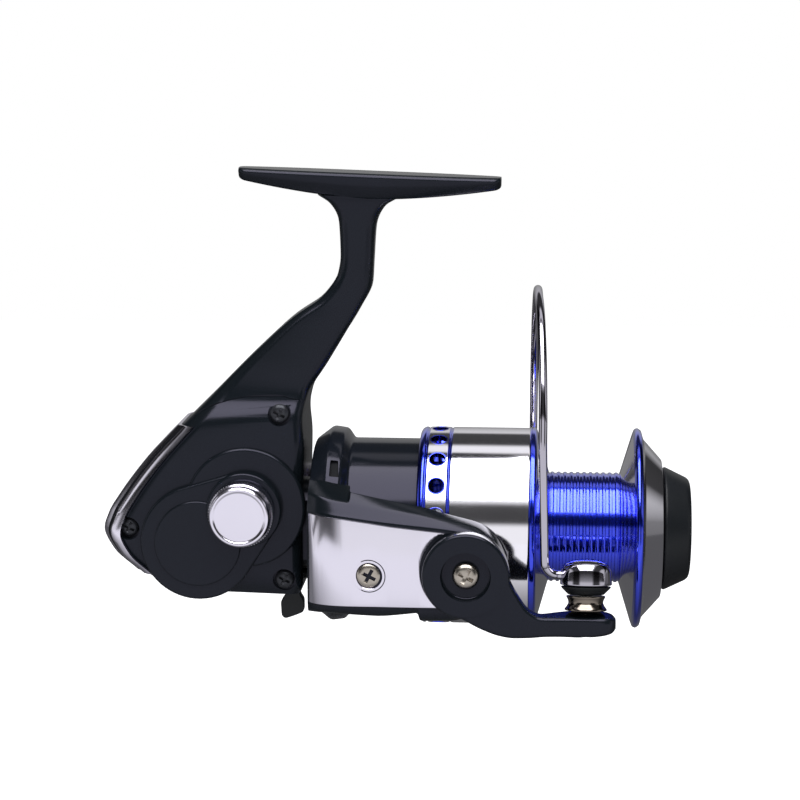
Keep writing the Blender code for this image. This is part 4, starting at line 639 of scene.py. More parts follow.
def cast_zinc():
    """Die-cast zinc gears: dull grey with a grainy skin."""
    return surface("die_cast_zinc", linear("#8d8e91"), 0.44, 1.0, (3.0, 0.08),
                   (0.4, 0.008, 1.0), (linear("#6e7073"), 5.0, 0.8))


def cut_brass():
    """Cut brass of pinion and bushes, warm yellow with darker handling marks."""
    return surface("cut_brass", linear("#c9a657"), 0.3, 1.0, (3.0, 0.07),
                   (0.2, 0.0015, 1.0), (linear("#94743a"), 4.0, 0.7))


def oiled_felt():
    """Oiled felt drag washers: matted fibres, dark with oil."""
    return surface("oiled_felt", linear("#7d6a4c"), 0.9, 0.0, (1.5, 0.08),
                   (0.18, 0.06, 1.0), (linear("#5a4a33"), 1.2, 1.0))


def grip_rubber():
    """Moulded soft rubber of the handle knob, matt with a pebbled skin."""
    return surface("moulded_grip_rubber", linear("#17181a"), 0.68, 0.0, (4.0, 0.06),
                   (0.8, 0.04, 1.0), (linear("#22242a"), 6.0, 0.7),
                   **{"Specular IOR Level": 0.35})


def roller_steel():
    """Titanium-coated line roller: brownish silver, mirror polished groove."""
    return surface("coated_roller_steel", linear("#6d655e"), 0.14, 1.0, (2.0, 0.04),
                   drift=(linear("#8f877f"), 3.0, 0.6))


def shadow_gap():
    """Painted shade in the recess behind trim and in holes: nearly black and dull, standing in for the
    shade that falls there.
    """
    return surface("painted_shade_recess", linear("#08090d"), 0.6, 0.0, (4.0, 0.05),
                   **{"Specular IOR Level": 0.08})


MATERIALS = {}


def material(maker):
    """The material a function makes, made once."""
    if maker.__name__ not in MATERIALS:
        MATERIALS[maker.__name__] = maker()
    return MATERIALS[maker.__name__]


# ------------------------------------------------------------------ settings

class ReelLook(PropertyGroup):
    """Colours and gloss of the reel."""

    spool_blue: FloatVectorProperty(
        name="Spool blue", description="Anodised colour of the spool's core and rings",
        subtype="COLOR", size=3, min=0.0, max=1.0, default=linear("#0834ee")[:3])
    plate_colour: FloatVectorProperty(
        name="Plate colour", description="Satin plating of the arm plates and handle",
        subtype="COLOR", size=3, min=0.0, max=1.0, default=linear("#e2dfec")[:3])
    lacquer_gloss: FloatProperty(
        name="Lacquer gloss", description="Specular level of the black lacquer",
        subtype="FACTOR", min=0.0, max=1.0, default=0.25)


class ReelSizes(PropertyGroup):
    """Sizes and counts of the repeated details."""

    vents: IntProperty(
        name="Vent holes", description="Holes drilled round the rear of the spool skirt",
        min=4, max=40, default=20)
    vent_radius: FloatProperty(
        name="Vent radius", description="Radius of one vent hole in metres",
        subtype="DISTANCE", unit="LENGTH", min=0.0005, max=0.0028, default=0.0021)
    core_ribs: IntProperty(
        name="Core ribs", description="Ribs round the spool's core, under the line",
        min=3, max=20, default=11)
    knurls: IntProperty(
        name="Cap knurls", description="Ridges round the rim of the handle's screw cap",
        min=12, max=120, default=72)
    windows: IntProperty(
        name="Flange windows", description="Window recesses on each side of the rotor flange",
        min=1, max=9, default=7)
    window_pitch: FloatProperty(
        name="Window pitch", description="Angle from one flange window to the next",
        subtype="ANGLE", unit="ROTATION", default=math.radians(15.5))


# ------------------------------------------------------------------ body case

def case_sections():
    """Sections from the foot down the stem, the leg and the case.

    Each is (rear x, rear z, front x, front z, half width, rear and front round).
    """
    stem = [
        (-13.1, -5.6, 7.7, -6.2, 5.0, 2.0, 2.0),
        (-9.9, -8.0, 4.1, -8.4, 4.5, 2.4, 2.4),
        (-7.9, -12.4, 1.7, -13.2, 4.2, 2.8, 2.8),
        (-7.5, -21.0, 1.1, -21.5, 4.2, 2.8, 2.8),
        (-8.1, -25.5, 0.7, -28.0, 4.2, 2.8, 2.8),
    ]
    leg = [
        (-12.0, 60.6, -2.6, 57.0, 4.8, 2.6, 2.6),
        (-19.5, 55.2, -6.2, 51.0, 5.8, 2.6, 2.6),
        (-30.3, 45.3, -11.6, 42.0, 7.6, 3.0, 3.0),
        (-40.5, 35.0, -15.6, 35.5, 9.2, 4.5, 3.0),
        (-48.2, 27.3, -16.8, 29.5, 12.3, 6.0, 3.0),
        (-56.2, 18.9, -16.4, 22.5, 13.0, 7.0, 3.0),
        (-63.6, 9.2, -16.7, 12.0, 13.0, 7.0, 3.0),
        (-67.0, 3.6, -17.0, 4.0, 13.0, 7.0, 3.0),
        (-68.3, -0.8, -17.0, -3.0, 13.0, 7.0, 3.0),
        (-66.0, -6.0, -17.0, -9.0, 12.8, 7.0, 3.0),
        (-60.0, -11.6, -17.0, -14.0, 12.0, 6.5, 3.0),
        (-52.0, -16.2, -17.8, -17.0, 10.4, 6.0, 3.0),
    ]
    return stem, [(a, b + AXIS_Z, c, d + AXIS_Z, h, r, f) for a, b, c, d, h, r, f in leg]


def section_ring(section, grow=0.0, steps=7, rear_only=False):
    """Rounded rectangle in the plane of Y and the line from rear to front."""
    rear_x, rear_z, front_x, front_z, half, rear_round, front_round = section
    rear, front = Vector((rear_x, 0, rear_z)), Vector((front_x, 0, front_z))
    along = (front - rear).normalized()
    a, b = (front - rear).length / 2 + grow, half + grow
    centre = (rear + front) / 2
    corners = ((-1, -1, rear_round, 180), (1, -1, front_round, 270),
               (1, 1, front_round, 0), (-1, 1, rear_round, 90))
    ring = []
    for side, flank, radius, start in corners:
        if rear_only and side > 0:
            continue
        r = max(min(radius + grow, b - 0.2), 0.6)
        ring += [centre + along * s + Vector((0, y, 0)) for s, y in
                 arc(side * (a - r), flank * (b - r), r, start, start + 90, steps)]
    return ring


def case_form(name, sections):
    """The case's skin through its sections."""
    return skin(name, [section_ring(section) for section in eased(sections, 6)])


def foot_form():
    """The tapered foot: flat seat on top, thicker over the stem."""
    rings = []
    stations = 60
    tip = 0.05
    for i in range(stations + 1):
        share = -math.cos(math.pi * i / stations)
        x = FOOT_REAR_X + FOOT_LENGTH * (share + 1) / 2
        into_tip = max(0.0, (abs(share) - 1 + tip) / tip)
        end = math.sqrt(max(0.0, 1.0 - into_tip ** 2))
        half = (4.0 + 2.8 * (1 - abs(share) ** 3)) * (0.62 + 0.38 * end)
        thick = (3.0 + 3.6 * max(0.0, 1.0 - abs(share) ** 1.6)) * (0.72 + 0.28 * end)
        top = -FOOT_SLOPE * x
        right = [(half - 0.8, top), (half + 0.25, top - 0.8), (half, top - 0.45 * thick),
                 (half * 0.72, top - thick)]
        profile = [(-right[0][0], top), *right, *[(-y, z) for y, z in right[:0:-1]]]
        rings.append([(x, y, z) for y, z in rounded(profile, 0.55, 3, closed=True)])
    return skin("foot", rings)


def seam_outline(shrink=0.0):
    """Side view of the cover's edge: along the leg's shoulder and round the case."""
    points = [(-46.5, 29.5), (-40.0, 33.0), (-32.0, 35.2), (-22.5, 35.8), (-19.2, 34.6),
              (-12.0, 34.0), (-12.0, -24.0), (-80.0, -24.0), (-80.0, 14.0), (-53.0, 22.6)]
    cx = sum(p[0] for p in points) / len(points)
    cy = sum(p[1] for p in points) / len(points)
    result = []
    for x, y in rounded(points, 3.0, 4, closed=True):
        away = math.hypot(x - cx, y - cy)
        result.append((cx + (x - cx) * (1 - shrink / away),
                       AXIS_Z + cy + (y - cy) * (1 - shrink / away)))
    return result


class REEL_OT_case(Operator):
    """Body housing, side cover and rear guard"""

    bl_idname = "reel.case"
    bl_label = "Body case"

    def execute(self, context):
        stem, leg = case_sections()
        self.housing(stem, leg)
        self.cover(stem, leg)
        self.guard(leg)
        return {"FINISHED"}

    @staticmethod
    def housing(stem, leg):
        """Foot, stem and case in one casting, open on the near side for the cover."""
        housing = case_form("housing_shell", stem + leg)
        join(housing, foot_form(),
             drum("nose", -19.0, -12.6, 12.0, ON_SPOOL, 0.8),
             drum("far_disc", 10.0, -BOSS_FACE, BOSS_RADIUS, ON_CRANK, 0.8),
             drum("far_boss", 10.0, 16.0, COLLAR_RADIUS, ON_CRANK, 0.8))
        carve(housing, side_slab("cover_room", seam_outline(), -40.0, COVER_PLANE, 0.0, 1))
        slot = side_slab("lever_slot", [(-24.0, AXIS_Z - 30), (-17.8, AXIS_Z - 30),
                                        (-17.8, AXIS_Z + LEVER_RISE),
                                        (-24.0, AXIS_Z + LEVER_RISE)], -3.8, 3.8, 0.0, 1)
        carve(housing, slot)
        finish(housing, material(gloss_lacquer), "frame", "body_black", "body_housing")

    @staticmethod
    def cover(stem, leg):
        """Side cover with its boss, lobe and collar, and room for three screws."""
        cover = case_form("cover_shell", stem[3:] + leg)
        keep = side_slab("cover_keep", seam_outline(0.25), -40.0, COVER_PLANE - 0.3, 0.0, 1)
        carve(cover, keep, "INTERSECT")
        low = COVER_PLANE - 2.6
        join(cover,
             drum("boss", BOSS_FACE, low, BOSS_RADIUS, ON_CRANK, 0.9),
             side_slab("lobe", belt((OSCILLATION.x, OSCILLATION.z), LOBE_RADIUS,
                                    (CRANK.x, CRANK.z), COLLAR_RADIUS), LOBE_FACE, low, 0.7),
             drum("collar", COLLAR_FACE, low, COLLAR_RADIUS, ON_CRANK, 0.7),
             drum("lobe_disc", LOBE_FACE - 0.7, low, 11.2, ON_OSCILLATION, 0.5))
        for node in COVER_SCREWS:
            spot = at(middle(node).x, 0, middle(node).z, ALONG_Y)
            carve(cover, drum("recess", -30.0, reach(node, 1, 0) + 1.6, 3.0, spot, steps=32))
        finish(cover, material(gloss_lacquer), "frame", "body_black", "side_cover")

    @staticmethod
    def guard(leg):
        """Bright strip round the rear edge, two rails with a channel between, painted dark as shade."""
        near = (1.25, 1.25, 1.15, 0.55, 0.55, 1.15, 1.2, 1.0)
        order = [*range(12, 20), *range(0, 8)]
        rings = []
        for section in eased(leg[4:11], 6):
            levels = {grow: section_ring(section, grow, 9, rear_only=True)
                      for grow in (0.3, *near)}
            top = [levels[grow][i] for grow, i in zip(near[::-1] + near, order)]
            rings.append(top + [levels[0.3][i] for i in reversed(order)])
        strip = skin("guard_strip", rings)
        strip.data.materials.append(material(plated_silver))
        strip.data.materials.append(material(shadow_gap))
        # The channel's faces take the painted shade material
        for face in strip.data.polygons[:-2]:
            if face.index % len(rings[0]) in (3, 11):
                face.material_index = 1
        finish(strip, None, "frame", "trim_silver", "rear_guard", angle=30)


class REEL_OT_cap(Operator):
    """Screw cap of the handle shaft with its knurled rim, and the cover screws"""

    bl_idname = "reel.cap"
    bl_label = "Handle cap and cover screws"

    def execute(self, context):
        sizes = context.scene.reel_sizes
        face, back, rim = CAP_FACE_Y, CAP_BACK_Y, 8.15
        outline = [(face + 0.35, 0), (face + 0.35, 6.3), (face, 6.8), (face, 7.3),
                   (face + 0.6, 7.8), (face + 2.4, 7.8), (face + 2.6, rim), (back - 0.6, rim),
                   (back, 7.8), (back, 2.85), (back - 4.6, 2.85), (back - 4.6, 0)]
        cap = turned("cap_body", rounded(outline, 0.25, 3), ON_CRANK, 128)
        finish(cap, material(plated_silver), "crank", "trim_silver", "handle_screw_cap")
        ridge = skin("ridge", [[(x, y, z) for x, y in ((-0.1, -0.13), (0.16, 0.0), (-0.1, 0.13))]
                               for z in (face + 2.75, back - 0.75)])
        knurl = copies("cap_knurl", TREES["ring"], ridge, material(bright_trim), ON_CRANK,
                       Count=sizes.knurls, Radius=rim * MM,
                       Pitch=2 * math.pi / sizes.knurls, Start=0.0)
        finish(knurl, None, "crank", "trim_silver")

        head = pan_head("cover_screw", 2.5, 1.4, ALONG_Y)
        spots = bpy.data.meshes.new("screw_places")
        spots.from_pydata([(middle(n).x * MM, reach(n, 1, 0) * MM, middle(n).z * MM)
                           for n in COVER_SCREWS], [], [])
        places = bpy.data.objects.new("screw_places", spots)
        context.scene.collection.objects.link(places)
        screws = copies("cover_screw_heads", TREES["places"], head, material(blackened_steel),
                        Matrix.Identity(4), Places=places)
        bpy.data.objects.remove(places, do_unlink=True)
        finish(screws, None, "frame", "steel", *COVER_SCREWS)
        return {"FINISHED"}


def pan_head(name, radius, height, place):
    """Domed screw head with a cross recess, its face at the start of the place's Z axis."""
    dome = [(0, 0), (0.02 * height, radius * 0.35), (0.12 * height, radius * 0.65),
            (0.36 * height, radius * 0.9), (0.62 * height, radius), (height, radius),
            (height, radius * 0.5), (height + 0.6, radius * 0.5), (height + 0.6, 0)]
    head = turned(name, dome, place, 48)
    wing = radius * 0.15
    for angle in (27.0, 117.0):
        rings = [[(s * long, t * wide, z) for s, t in ((-1, -1), (1, -1), (1, 1), (-1, 1))]
                 for z, long, wide in ((-1.0, radius * 0.62, wing),
                                       (height * 0.5, radius * 0.62, wing),
                                       (height * 0.92, radius * 0.3, wing * 0.8))]
        turn = place @ Matrix.Rotation(math.radians(angle), 4, "Z")
        carve(head, skin("wing", rings, turn))
    return head


# ------------------------------------------------------------------ rotor

def arm_rows():
    """Rows of one rotor arm: x, inner, outer, bottom, shoulder and top."""
    inner, outer = ARM_INNER, ARM_OUTER
    return [
        (-13.7, inner - 6.2, outer - 5.6, -17.2, 9.4, 16.2),
        (-11.2, inner - 6.2, outer - 3.4, -16.8, 9.6, 16.2),
        (-7.2, inner - 6.2, outer - 1.6, -16.5, 9.2, 15.4),
        (-3.6, inner - 6.2, outer - 0.8, -16.5, 8.9, 14.9),
        (-2.6, inner, outer - 0.7, -16.5, 8.8, 14.7),
        (4.5, inner, outer - 0.2, -16.6, 8.0, 13.2),
        (14.0, inner, outer, -15.6, 7.1, 11.4),
        (15.2, inner, outer, -17.5, 7.0, 11.2),
        (22.5, inner, outer, -17.4, 6.2, 9.2),
        (30.1, inner, outer, -14.6, 4.6, 7.0),
        (34.5, inner, outer, -11.0, 0.6, 2.6),
        (36.3, inner, outer - 0.4, -7.4, -2.8, -1.4),
    ]


def skin_at(x):
    """Outer face of the arm at a station."""
    rows = eased([(row[0], row[2]) for row in arm_rows()], 6)
    for (x0, y0), (x1, y1) in zip(rows, rows[1:]):
        if x0 <= x <= x1:
            return y0 + (y1 - y0) * (x - x0) / (x1 - x0)
    return rows[0][1] if x < rows[0][0] else rows[-1][1]


def arm_form(name, side):
    """One rotor arm, from the flange to the bail's pivot."""
    rings = []
    for x, low, high, bottom, shoulder, top in eased(arm_rows(), 5):
        deep = min(2.2, (high - low) * 0.5)
        profile = [(low, bottom + 0.6), (high - deep, bottom), (high - 0.6, bottom + 1.0),
                   (high, bottom + 2.6), (high, shoulder), (high - 0.5, shoulder + 0.7),
                   (high - deep, (shoulder + top) / 2 + 0.4), (low, top)]
        rings.append([(x, side * y, AXIS_Z + up)
                      for y, up in rounded(profile, 0.7, 3, closed=True)])
    return skin(name, rings)


def plate_outline(grow=0.0):
    """Side view of the plate on an arm, cut round the bail hub."""
    hub = HUB_RADIUS + 0.5 - grow
    rise = PIVOT.z - AXIS_Z
    high, low = 5.9 + grow, -13.5 - grow
    start = 180 - math.degrees(math.asin((high - rise) / hub))
    end = 180 + math.degrees(math.asin((rise - low) / hub))
    return ([(-13.4 - grow, 9.15 + grow), (-9.0, 9.0 + grow), (-4.0, 8.7 + grow),
             (2.0, 8.0 + grow), (8.0, 7.2 + grow)]
            + arc(PIVOT.x, rise, hub, start, end, 28)
            + [(4.0, low - 0.1), (-4.0, low - 0.3), (-13.4 - grow, low - 0.6)])


def plate_form(name, side, grow, inner, outer, edge):
    """A slab that follows the arm's skin within the plate's outline."""
    outline = [(x, AXIS_Z + up) for x, up in plate_outline(grow)]
    form = side_slab(name, outline, inner, outer, edge, 2)
    bm = bmesh.new()
    bm.from_mesh(form.data)
    station = -13.0
    while station < 24.0:
        bmesh.ops.bisect_plane(bm, geom=bm.verts[:] + bm.edges[:] + bm.faces[:], dist=1e-6,
                               plane_co=(station * MM, 0, 0), plane_no=(1, 0, 0))
        station += 1.0
    for vert in bm.verts:
        vert.co.y = side * (vert.co.y + skin_at(vert.co.x / MM) * MM)
    bmesh.ops.recalc_face_normals(bm, faces=bm.faces)
    bm.to_mesh(form.data)
    bm.free()
    return form


class REEL_OT_rotor(Operator):
    """Rotor: turned cup, flange with its windows, and the two arms"""

    bl_idname = "reel.rotor"
    bl_label = "Rotor"

    def execute(self, context):
        sizes = context.scene.reel_sizes
        front, bore = ROTOR_FRONT_X, CUP_RADIUS - CUP_WALL
        outline = [(ROTOR_REAR_X, FLANGE_RADIUS - 3.4), (-9.8, FLANGE_RADIUS),
                   (-6.2, FLANGE_RADIUS - 0.5), (-4.4, CUP_RADIUS), (front - 1.4, CUP_RADIUS),
                   (front, CUP_RADIUS - 1.4), (front, 3.7), (front - 12.0, 3.7),
                   (front - 12.0, 6.6), (front - CUP_WALL, 7.6), (front - CUP_WALL, bore),
                   (ROTOR_REAR_X, bore)]
        cup = turned("rotor_cup", rounded(outline, 0.7, 4, closed=True), ON_SPOOL, 160)
        cup.data.materials.append(material(cylinder_lacquer))
        spread = (sizes.windows - 1) / 2 * sizes.window_pitch
        for face in (0.0, math.pi):
            cutter = skin("window", [[(x, y, z) for y, z in rounded(
                [(-2.5, -1.3), (2.5, -1.3), (2.5, 1.1), (-2.5, 0.7)], 0.35, 3, closed=True)]
                for x in (-1.2, 1.3)])
            # The window floors keep the cutter's near-black painted shade material
            cuts = copies("window_cuts", TREES["ring"], cutter, material(shadow_gap),
                          at(-7.6, 0, AXIS_Z, ALONG_X), Count=sizes.windows,
                          Radius=FLANGE_RADIUS * MM, Pitch=sizes.window_pitch,
                          Start=math.pi / 2 + face - spread)
            carve(cup, cuts, its_material=True)
        finish(cup, None, "rotor", "body_black", "rotor", angle=30)
        for side, label in ((-1, "near"), (1, "far")):
            arm = arm_form("rotor_arm_" + label, side)
            carve(arm, drum("inside", ROTOR_REAR_X - 2, -3.0, bore + 0.05, ON_SPOOL))
            carve(arm, plate_form("seat", side, 0.2, -1.1, 6.0, 0.0))
            finish(arm, material(gloss_lacquer), "rotor", "body_black", "rotor", angle=30)
        return {"FINISHED"}


class REEL_OT_plates(Operator):
    """Bright plates on the rotor arms, their screws and the bail's pivot screws"""

    bl_idname = "reel.plates"
    bl_label = "Arm plates and screws"

    def execute(self, context):
        for side, label in ((-1, "near"), (1, "far")):
            plate = plate_form("plate_" + label, side, -0.1, -0.8, 0.2, 0.22)
            spot = at(PLATE_SCREW.x, 0, PLATE_SCREW.z, facing(side))
            carve(plate, turned("sink", [(-40, 0), (-40, 3.4), (-32.2, 3.4), (-32.0, 3.2),
                                         (-25, 3.2), (-25, 0)], spot, 64))
            carve(plate, turned("ring", [(-40, 3.95), (-40, 4.2), (-31.95, 4.2),
                                         (-31.95, 3.95)], spot, 64))
            finish(plate, material(plated_silver), "rotor", "plate_silver", "arm_plate_" + label)
        head = pan_head("plate_screw", 3.0, 0.9, Matrix.Rotation(math.radians(-90), 4, "Y"))
        screws = copies("plate_screw_heads", TREES["ring"], head, material(screw_nickel),
                        at(PLATE_SCREW.x, 0, PLATE_SCREW.z), Count=2,
                        Radius=-reach("plate_screw_near", 1, 0) * MM, Pitch=math.pi,
                        Start=-math.pi / 2)
        finish(screws, None, "rotor", "nickel", "plate_screw_near", "plate_screw_far")
        for side, label in ((-1, "near"), (1, "far")):
            node = "bail_pivot_screw_" + label
            place = at(PIVOT.x, reach(node, 1, 0 if side < 0 else 1), PIVOT.z, facing(side))
            screw = pan_head("pivot_screw_" + label, 3.3, 1.8, place)
            finish(screw, material(screw_nickel), "rotor", "nickel", node)
        return {"FINISHED"}


# ------------------------------------------------------------------ bail

def wire_points():
    """Middle line of the bail wire, from the roller cap over to the far holder."""
    near_y, far_y = ROLLER_FOOT.y, HOLDER_Y
    low_x, far_x = BAIL_APEX.x + 2.6, BAIL_APEX.x - 1.1
    up, end_up = AXIS_Z - 4.35, PIVOT.z + 1.4
    bend = WIRE_BEND
    points = [Vector((51.3, near_y + 1.6, up)), Vector((49.1, near_y + 1.5, up + 0.1))]
    for i in range(1, 6):
        a = math.radians(90 * i / 5)
        points.append(Vector((low_x + bend - bend * math.sin(a), near_y + 1.5 - 0.3 * i,
                              up + bend * (1 - math.cos(a)) + 0.1)))
    half, centre = (far_y - near_y) / 2, (far_y + near_y) / 2
    spring = BAIL_APEX.z - half
    rise = points[-1].z
    for i in range(1, 5):
        share = i / 4
        points.append(Vector((low_x - 0.8 * share, near_y, rise + (spring - rise) * share)))
    for i in range(1, 16):
        a = math.pi * i / 16
        x = low_x - 0.8 - (low_x - 0.8 - BAIL_APEX.x) * min(1.0, 2.2 * math.sin(a / 2) ** 2)
        if i > 8:
            x = BAIL_APEX.x - 1.1 * math.sin(a - math.pi / 2)
        points.append(Vector((x, centre - half * math.cos(a), spring + half * math.sin(a))))
    for i in range(0, 5):
        points.append(Vector((far_x, far_y, spring + (end_up + bend - spring) * i / 4)))
    for i in range(1, 6):
        a = math.radians(90 * i / 5)
        points.append(Vector((far_x - bend + bend * math.cos(a), far_y,
                              end_up + bend - bend * math.sin(a))))
    points.append(Vector((far_x - bend - 3.0, far_y, end_up)))
    return points


class REEL_OT_bail(Operator):
    """Bail arm with its hub, the bail wire and the far holder"""

    bl_idname = "reel.bail"
    bl_label = "Bail"

    def execute(self, context):
        o, i, roll = HUB_OUTER, HUB_INNER, -ROLLER_FOOT.y
        hub = turned("bail_hub", rounded([(-o, 0), (-o, HUB_RADIUS), (-i, HUB_RADIUS), (-i, 0)],
                                         1.0, 5), ON_PIVOT, 128)
        rows = [
            (PIVOT.x - 1.0, -15.0, 4.0, o - 0.1, i), (PIVOT.x + 4.0, -17.6, 3.0, o - 0.1, i),
            (PIVOT.x + 8.5, -19.2, -1.0, o - 0.1, i), (PIVOT.x + 12.0, -19.7, -7.6, o - 0.2, i),
            (PIVOT.x + 15.5, -19.6, -12.6, o - 0.3, i),
            (PIVOT.x + 19.0, -19.3, -14.2, o - 0.4, i - 1.2),
            (ROLLER_FOOT.x - 5.8, -18.9, -13.9, roll + 3.6, roll - 3.6),
            (ROLLER_FOOT.x, -18.7, -13.6, roll + 4.4, roll - 4.4),
            (ROLLER_FOOT.x + 4.6, -18.3, -13.8, roll + 3.9, roll - 3.9),
            (ROLLER_FOOT.x + 6.6, -17.8, -14.2, roll + 2.9, roll - 2.9),
            (ROLLER_FOOT.x + 7.4, -17.0, -14.9, roll + 1.6, roll - 1.6),
        ]
        rings = []
        for x, low, high, out, back in eased(rows, 5):
            profile = [(-back, low), (-out, low), (-out, high), (-back, high)]
            rings.append([(x, y, AXIS_Z + up) for y, up in
                          rounded(profile, min(1.3, (high - low) * 0.4), 5, closed=True)])
        join(hub, skin("sweep", rings))
        carve(hub, drum("recess", -o - 3, -o + 2.4, 6.2, ON_PIVOT, 0.8))
        carve(hub, drum("counter", -12.0, -4.4, 2.9, ON_ROLLER, steps=48))
        finish(hub, material(gloss_lacquer), "bail", "body_black", "bail_arm", angle=32)

        wire = tube("bail_wire_bend", smooth_path(wire_points()), WIRE_RADIUS, 24)
        finish(wire, material(chrome_wire), "bail", "chrome", "bail_wire")

        holder = drum("far_hub", i, i + 3.6, 7.6, ON_PIVOT, 0.7)
        profile = rounded([(-4.0, i), (1.2, i), (1.2, i + 4.4), (-4.0, i + 4.4)], 0.9, 4,
                          closed=True)
        join(holder, skin("holder_arm", [[(x, y, PIVOT.z + 2.8 + up) for up, y in profile]
                                         for x in (PIVOT.x + 4.3, BAIL_APEX.x - 5.2)]))
        finish(holder, material(gloss_lacquer), "bail", "body_black", "bail_holder")
        return {"FINISHED"}


class REEL_OT_roller(Operator):
    """Line roller, its cone bush, the bail cap and their screw"""

    bl_idname = "reel.roller"
    bl_label = "Line roller stack"

    def execute(self, context):
        base = 0.55
        roller = [(base, 1.5), (base, 5.2), (base + 0.4, 5.2), (base + 1.0, 4.7),
                  (base + 1.7, 4.3), (base + 2.2, 4.3), (base + 2.8, 4.5), (base + 3.3, 4.8),
                  (base + 3.6, 4.8), (base + 3.6, 1.5)]
        item = turned("roller_ring", rounded(roller, 0.2, 3, closed=True), ON_ROLLER, 96)
        finish(item, material(roller_steel), "line_roller", "chrome", "line_roller")
        cone = base + 3.9
        bush = [(cone, 1.5), (cone, 4.4), (cone + 1.6, 6.0), (cone + 2.0, 6.2), (cone + 2.0, 1.5)]
        item = turned("cone_bush", rounded(bush, 0.25, 3, closed=True), ON_ROLLER, 96)
        finish(item, material(satin_plastic), "bail", "knob_black", "roller_bush")
        rim = cone + 2.3
        cap = [(rim, 0), (rim, CAP_RADIUS), (rim + 0.5, CAP_RADIUS + 0.1),
               (rim + 4.0, CAP_RADIUS - 0.1), (rim + 5.4, CAP_RADIUS - 1.0), (rim + 6.2, 3.5),
               (rim + 6.5, 0)]
        item = turned("roller_cap", rounded(cap, 0.9, 6), ON_ROLLER, 128)
        finish(item, material(chrome_wire), "bail", "chrome", "bail_cap")
        screw = pan_head("arm_end_screw", 2.5, 1.3, ON_ROLLER @ at(0, 0, -5.9))
        finish(screw, material(screw_nickel), "bail", "nickel", "roller_screw")
        return {"FINISHED"}


# ------------------------------------------------------------------ spool

class REEL_OT_spool(Operator):
    """Spool: polished skirt, blue rings, drilled band, ribbed core and lip"""

    bl_idname = "reel.spool"
    bl_label = "Spool"

    def execute(self, context):
        sizes = context.scene.reel_sizes
        R, wall, rear = SKIRT_RADIUS, SKIRT_WALL, SKIRT_REAR_X
        outer = [(rear, R - 1.1), (rear + 0.4, R - 0.4), (rear + 1.2, R)]
        for ring_x in (BAND_REAR_X, BAND_FRONT_X):
            outer += [(ring_x - 0.4, R), (ring_x, R - 0.35), (ring_x + 0.4, R)]
        outer += [(SKIRT_FRONT_X, R), (SKIRT_FRONT_X + 0.3, R + 0.3), (43.1, R + 0.15),
                  (43.5, R - 0.6), (CORE_REAR_X, CORE_RADIUS - 0.3),
                  (CORE_FRONT_X, CORE_RADIUS - 0.3), (68.0, 24.4), (68.5, 25.7), (69.3, LIP_RADIUS),
                  (70.2, 25.4), (70.8, 23.2), (DISH_FRONT_X, 17.8), (DISH_FRONT_X, 11.5)]
        inner = [(58.8, 11.5), (58.8, 2.25), (40.0, 2.25), (40.0, 5.4), (43.4, 5.4), (43.4, 11.0),
                 (41.6, R - wall - 1.2), (40.4, R - wall), (rear, R - wall)]
        body = turned("spool_body", rounded(outer, 0.3, 3) + inner, ON_SPOOL, 192)
        body.data.materials.append(material(polished_aluminium))
        body.data.materials.append(material(anodised_blue))
        body.data.materials.append(material(bright_trim))
        vent = drum("vent", -3.0, 3.0, sizes.vent_radius / MM, ALONG_X, steps=32)
        carve(body, self.round_band(sizes, "vent_cuts", vent, R - 0.8))
        for face in body.data.polygons:
            radius = math.hypot(face.center.y, face.center.z - AXIS_Z * MM) / MM
            face.material_index = self.finish_at(face.center.x / MM, radius)
        finish(body, None, "spool", "spool_blue", "spool", angle=28)
        self.vent_rims(sizes)
        self.ribs(sizes)
        return {"FINISHED"}

    @staticmethod
    def finish_at(x, radius):
        """0 is polished, 1 is blue and 2 is bright trim."""
        on_skin = radius > SKIRT_RADIUS - 0.5
        if CORE_RADIUS + 0.3 < radius < 24.9 and (43.3 < x < CORE_REAR_X or
                                                  CORE_FRONT_X < x < 68.3):
            return 2
        if x < BAND_REAR_X - 0.5 or not on_skin and x < 66.0:
            return 1
        if x < SKIRT_FRONT_X and min(abs(x - BAND_REAR_X), abs(x - BAND_FRONT_X)) < 0.45:
            return 1
        if x < SKIRT_FRONT_X:
            return 0
        return 2 if x > 70.3 and radius > 11.6 else 1

    @staticmethod
    def round_band(sizes, name, copy, radius):
        """Copies of one shape at every vent hole round the band."""
        return copies(name, TREES["ring"], copy, material(anodised_blue),
                      at((BAND_REAR_X + BAND_FRONT_X) / 2, 0, AXIS_Z, ALONG_X),
                      Count=sizes.vents, Radius=radius * MM, Pitch=2 * math.pi / sizes.vents,
                      Start=0.0)

    def vent_rims(self, sizes):
        """Blue ring left by the countersink of each hole."""
        r = sizes.vent_radius / MM
        rim = turned("rim", rounded([(-0.25, r - 0.05), (-0.25, r + 0.28), (0.06, r + 0.28),
                                     (0.06, r - 0.05)], 0.08, 2, closed=True), ALONG_X, 32)
        rims = self.round_band(sizes, "vent_rims", rim, SKIRT_RADIUS - 0.06)
        finish(rims, None, "spool", "spool_blue")

    @staticmethod
    def ribs(sizes):
        """Ribs round the core that keep the first turns of line from slipping."""
        spacing = (CORE_FRONT_X - CORE_REAR_X) / sizes.core_ribs
        half = spacing * 0.36
        rib = turned("rib", rounded([(-half, CORE_RADIUS - 0.6), (-half * 0.8, CORE_RADIUS - 0.1),
                                     (0, CORE_RADIUS + 0.05), (half * 0.8, CORE_RADIUS - 0.1),
                                     (half, CORE_RADIUS - 0.6)], 0.2, 3, closed=True),
                     Matrix.Identity(4), 144)
        ribs = copies("core_ribs", TREES["row"], rib, material(anodised_blue), ON_SPOOL,
                      Count=sizes.core_ribs, Start=(CORE_REAR_X + 0.5 * spacing) * MM,
                      Spacing=spacing * MM)
        finish(ribs, None, "spool", "spool_blue")


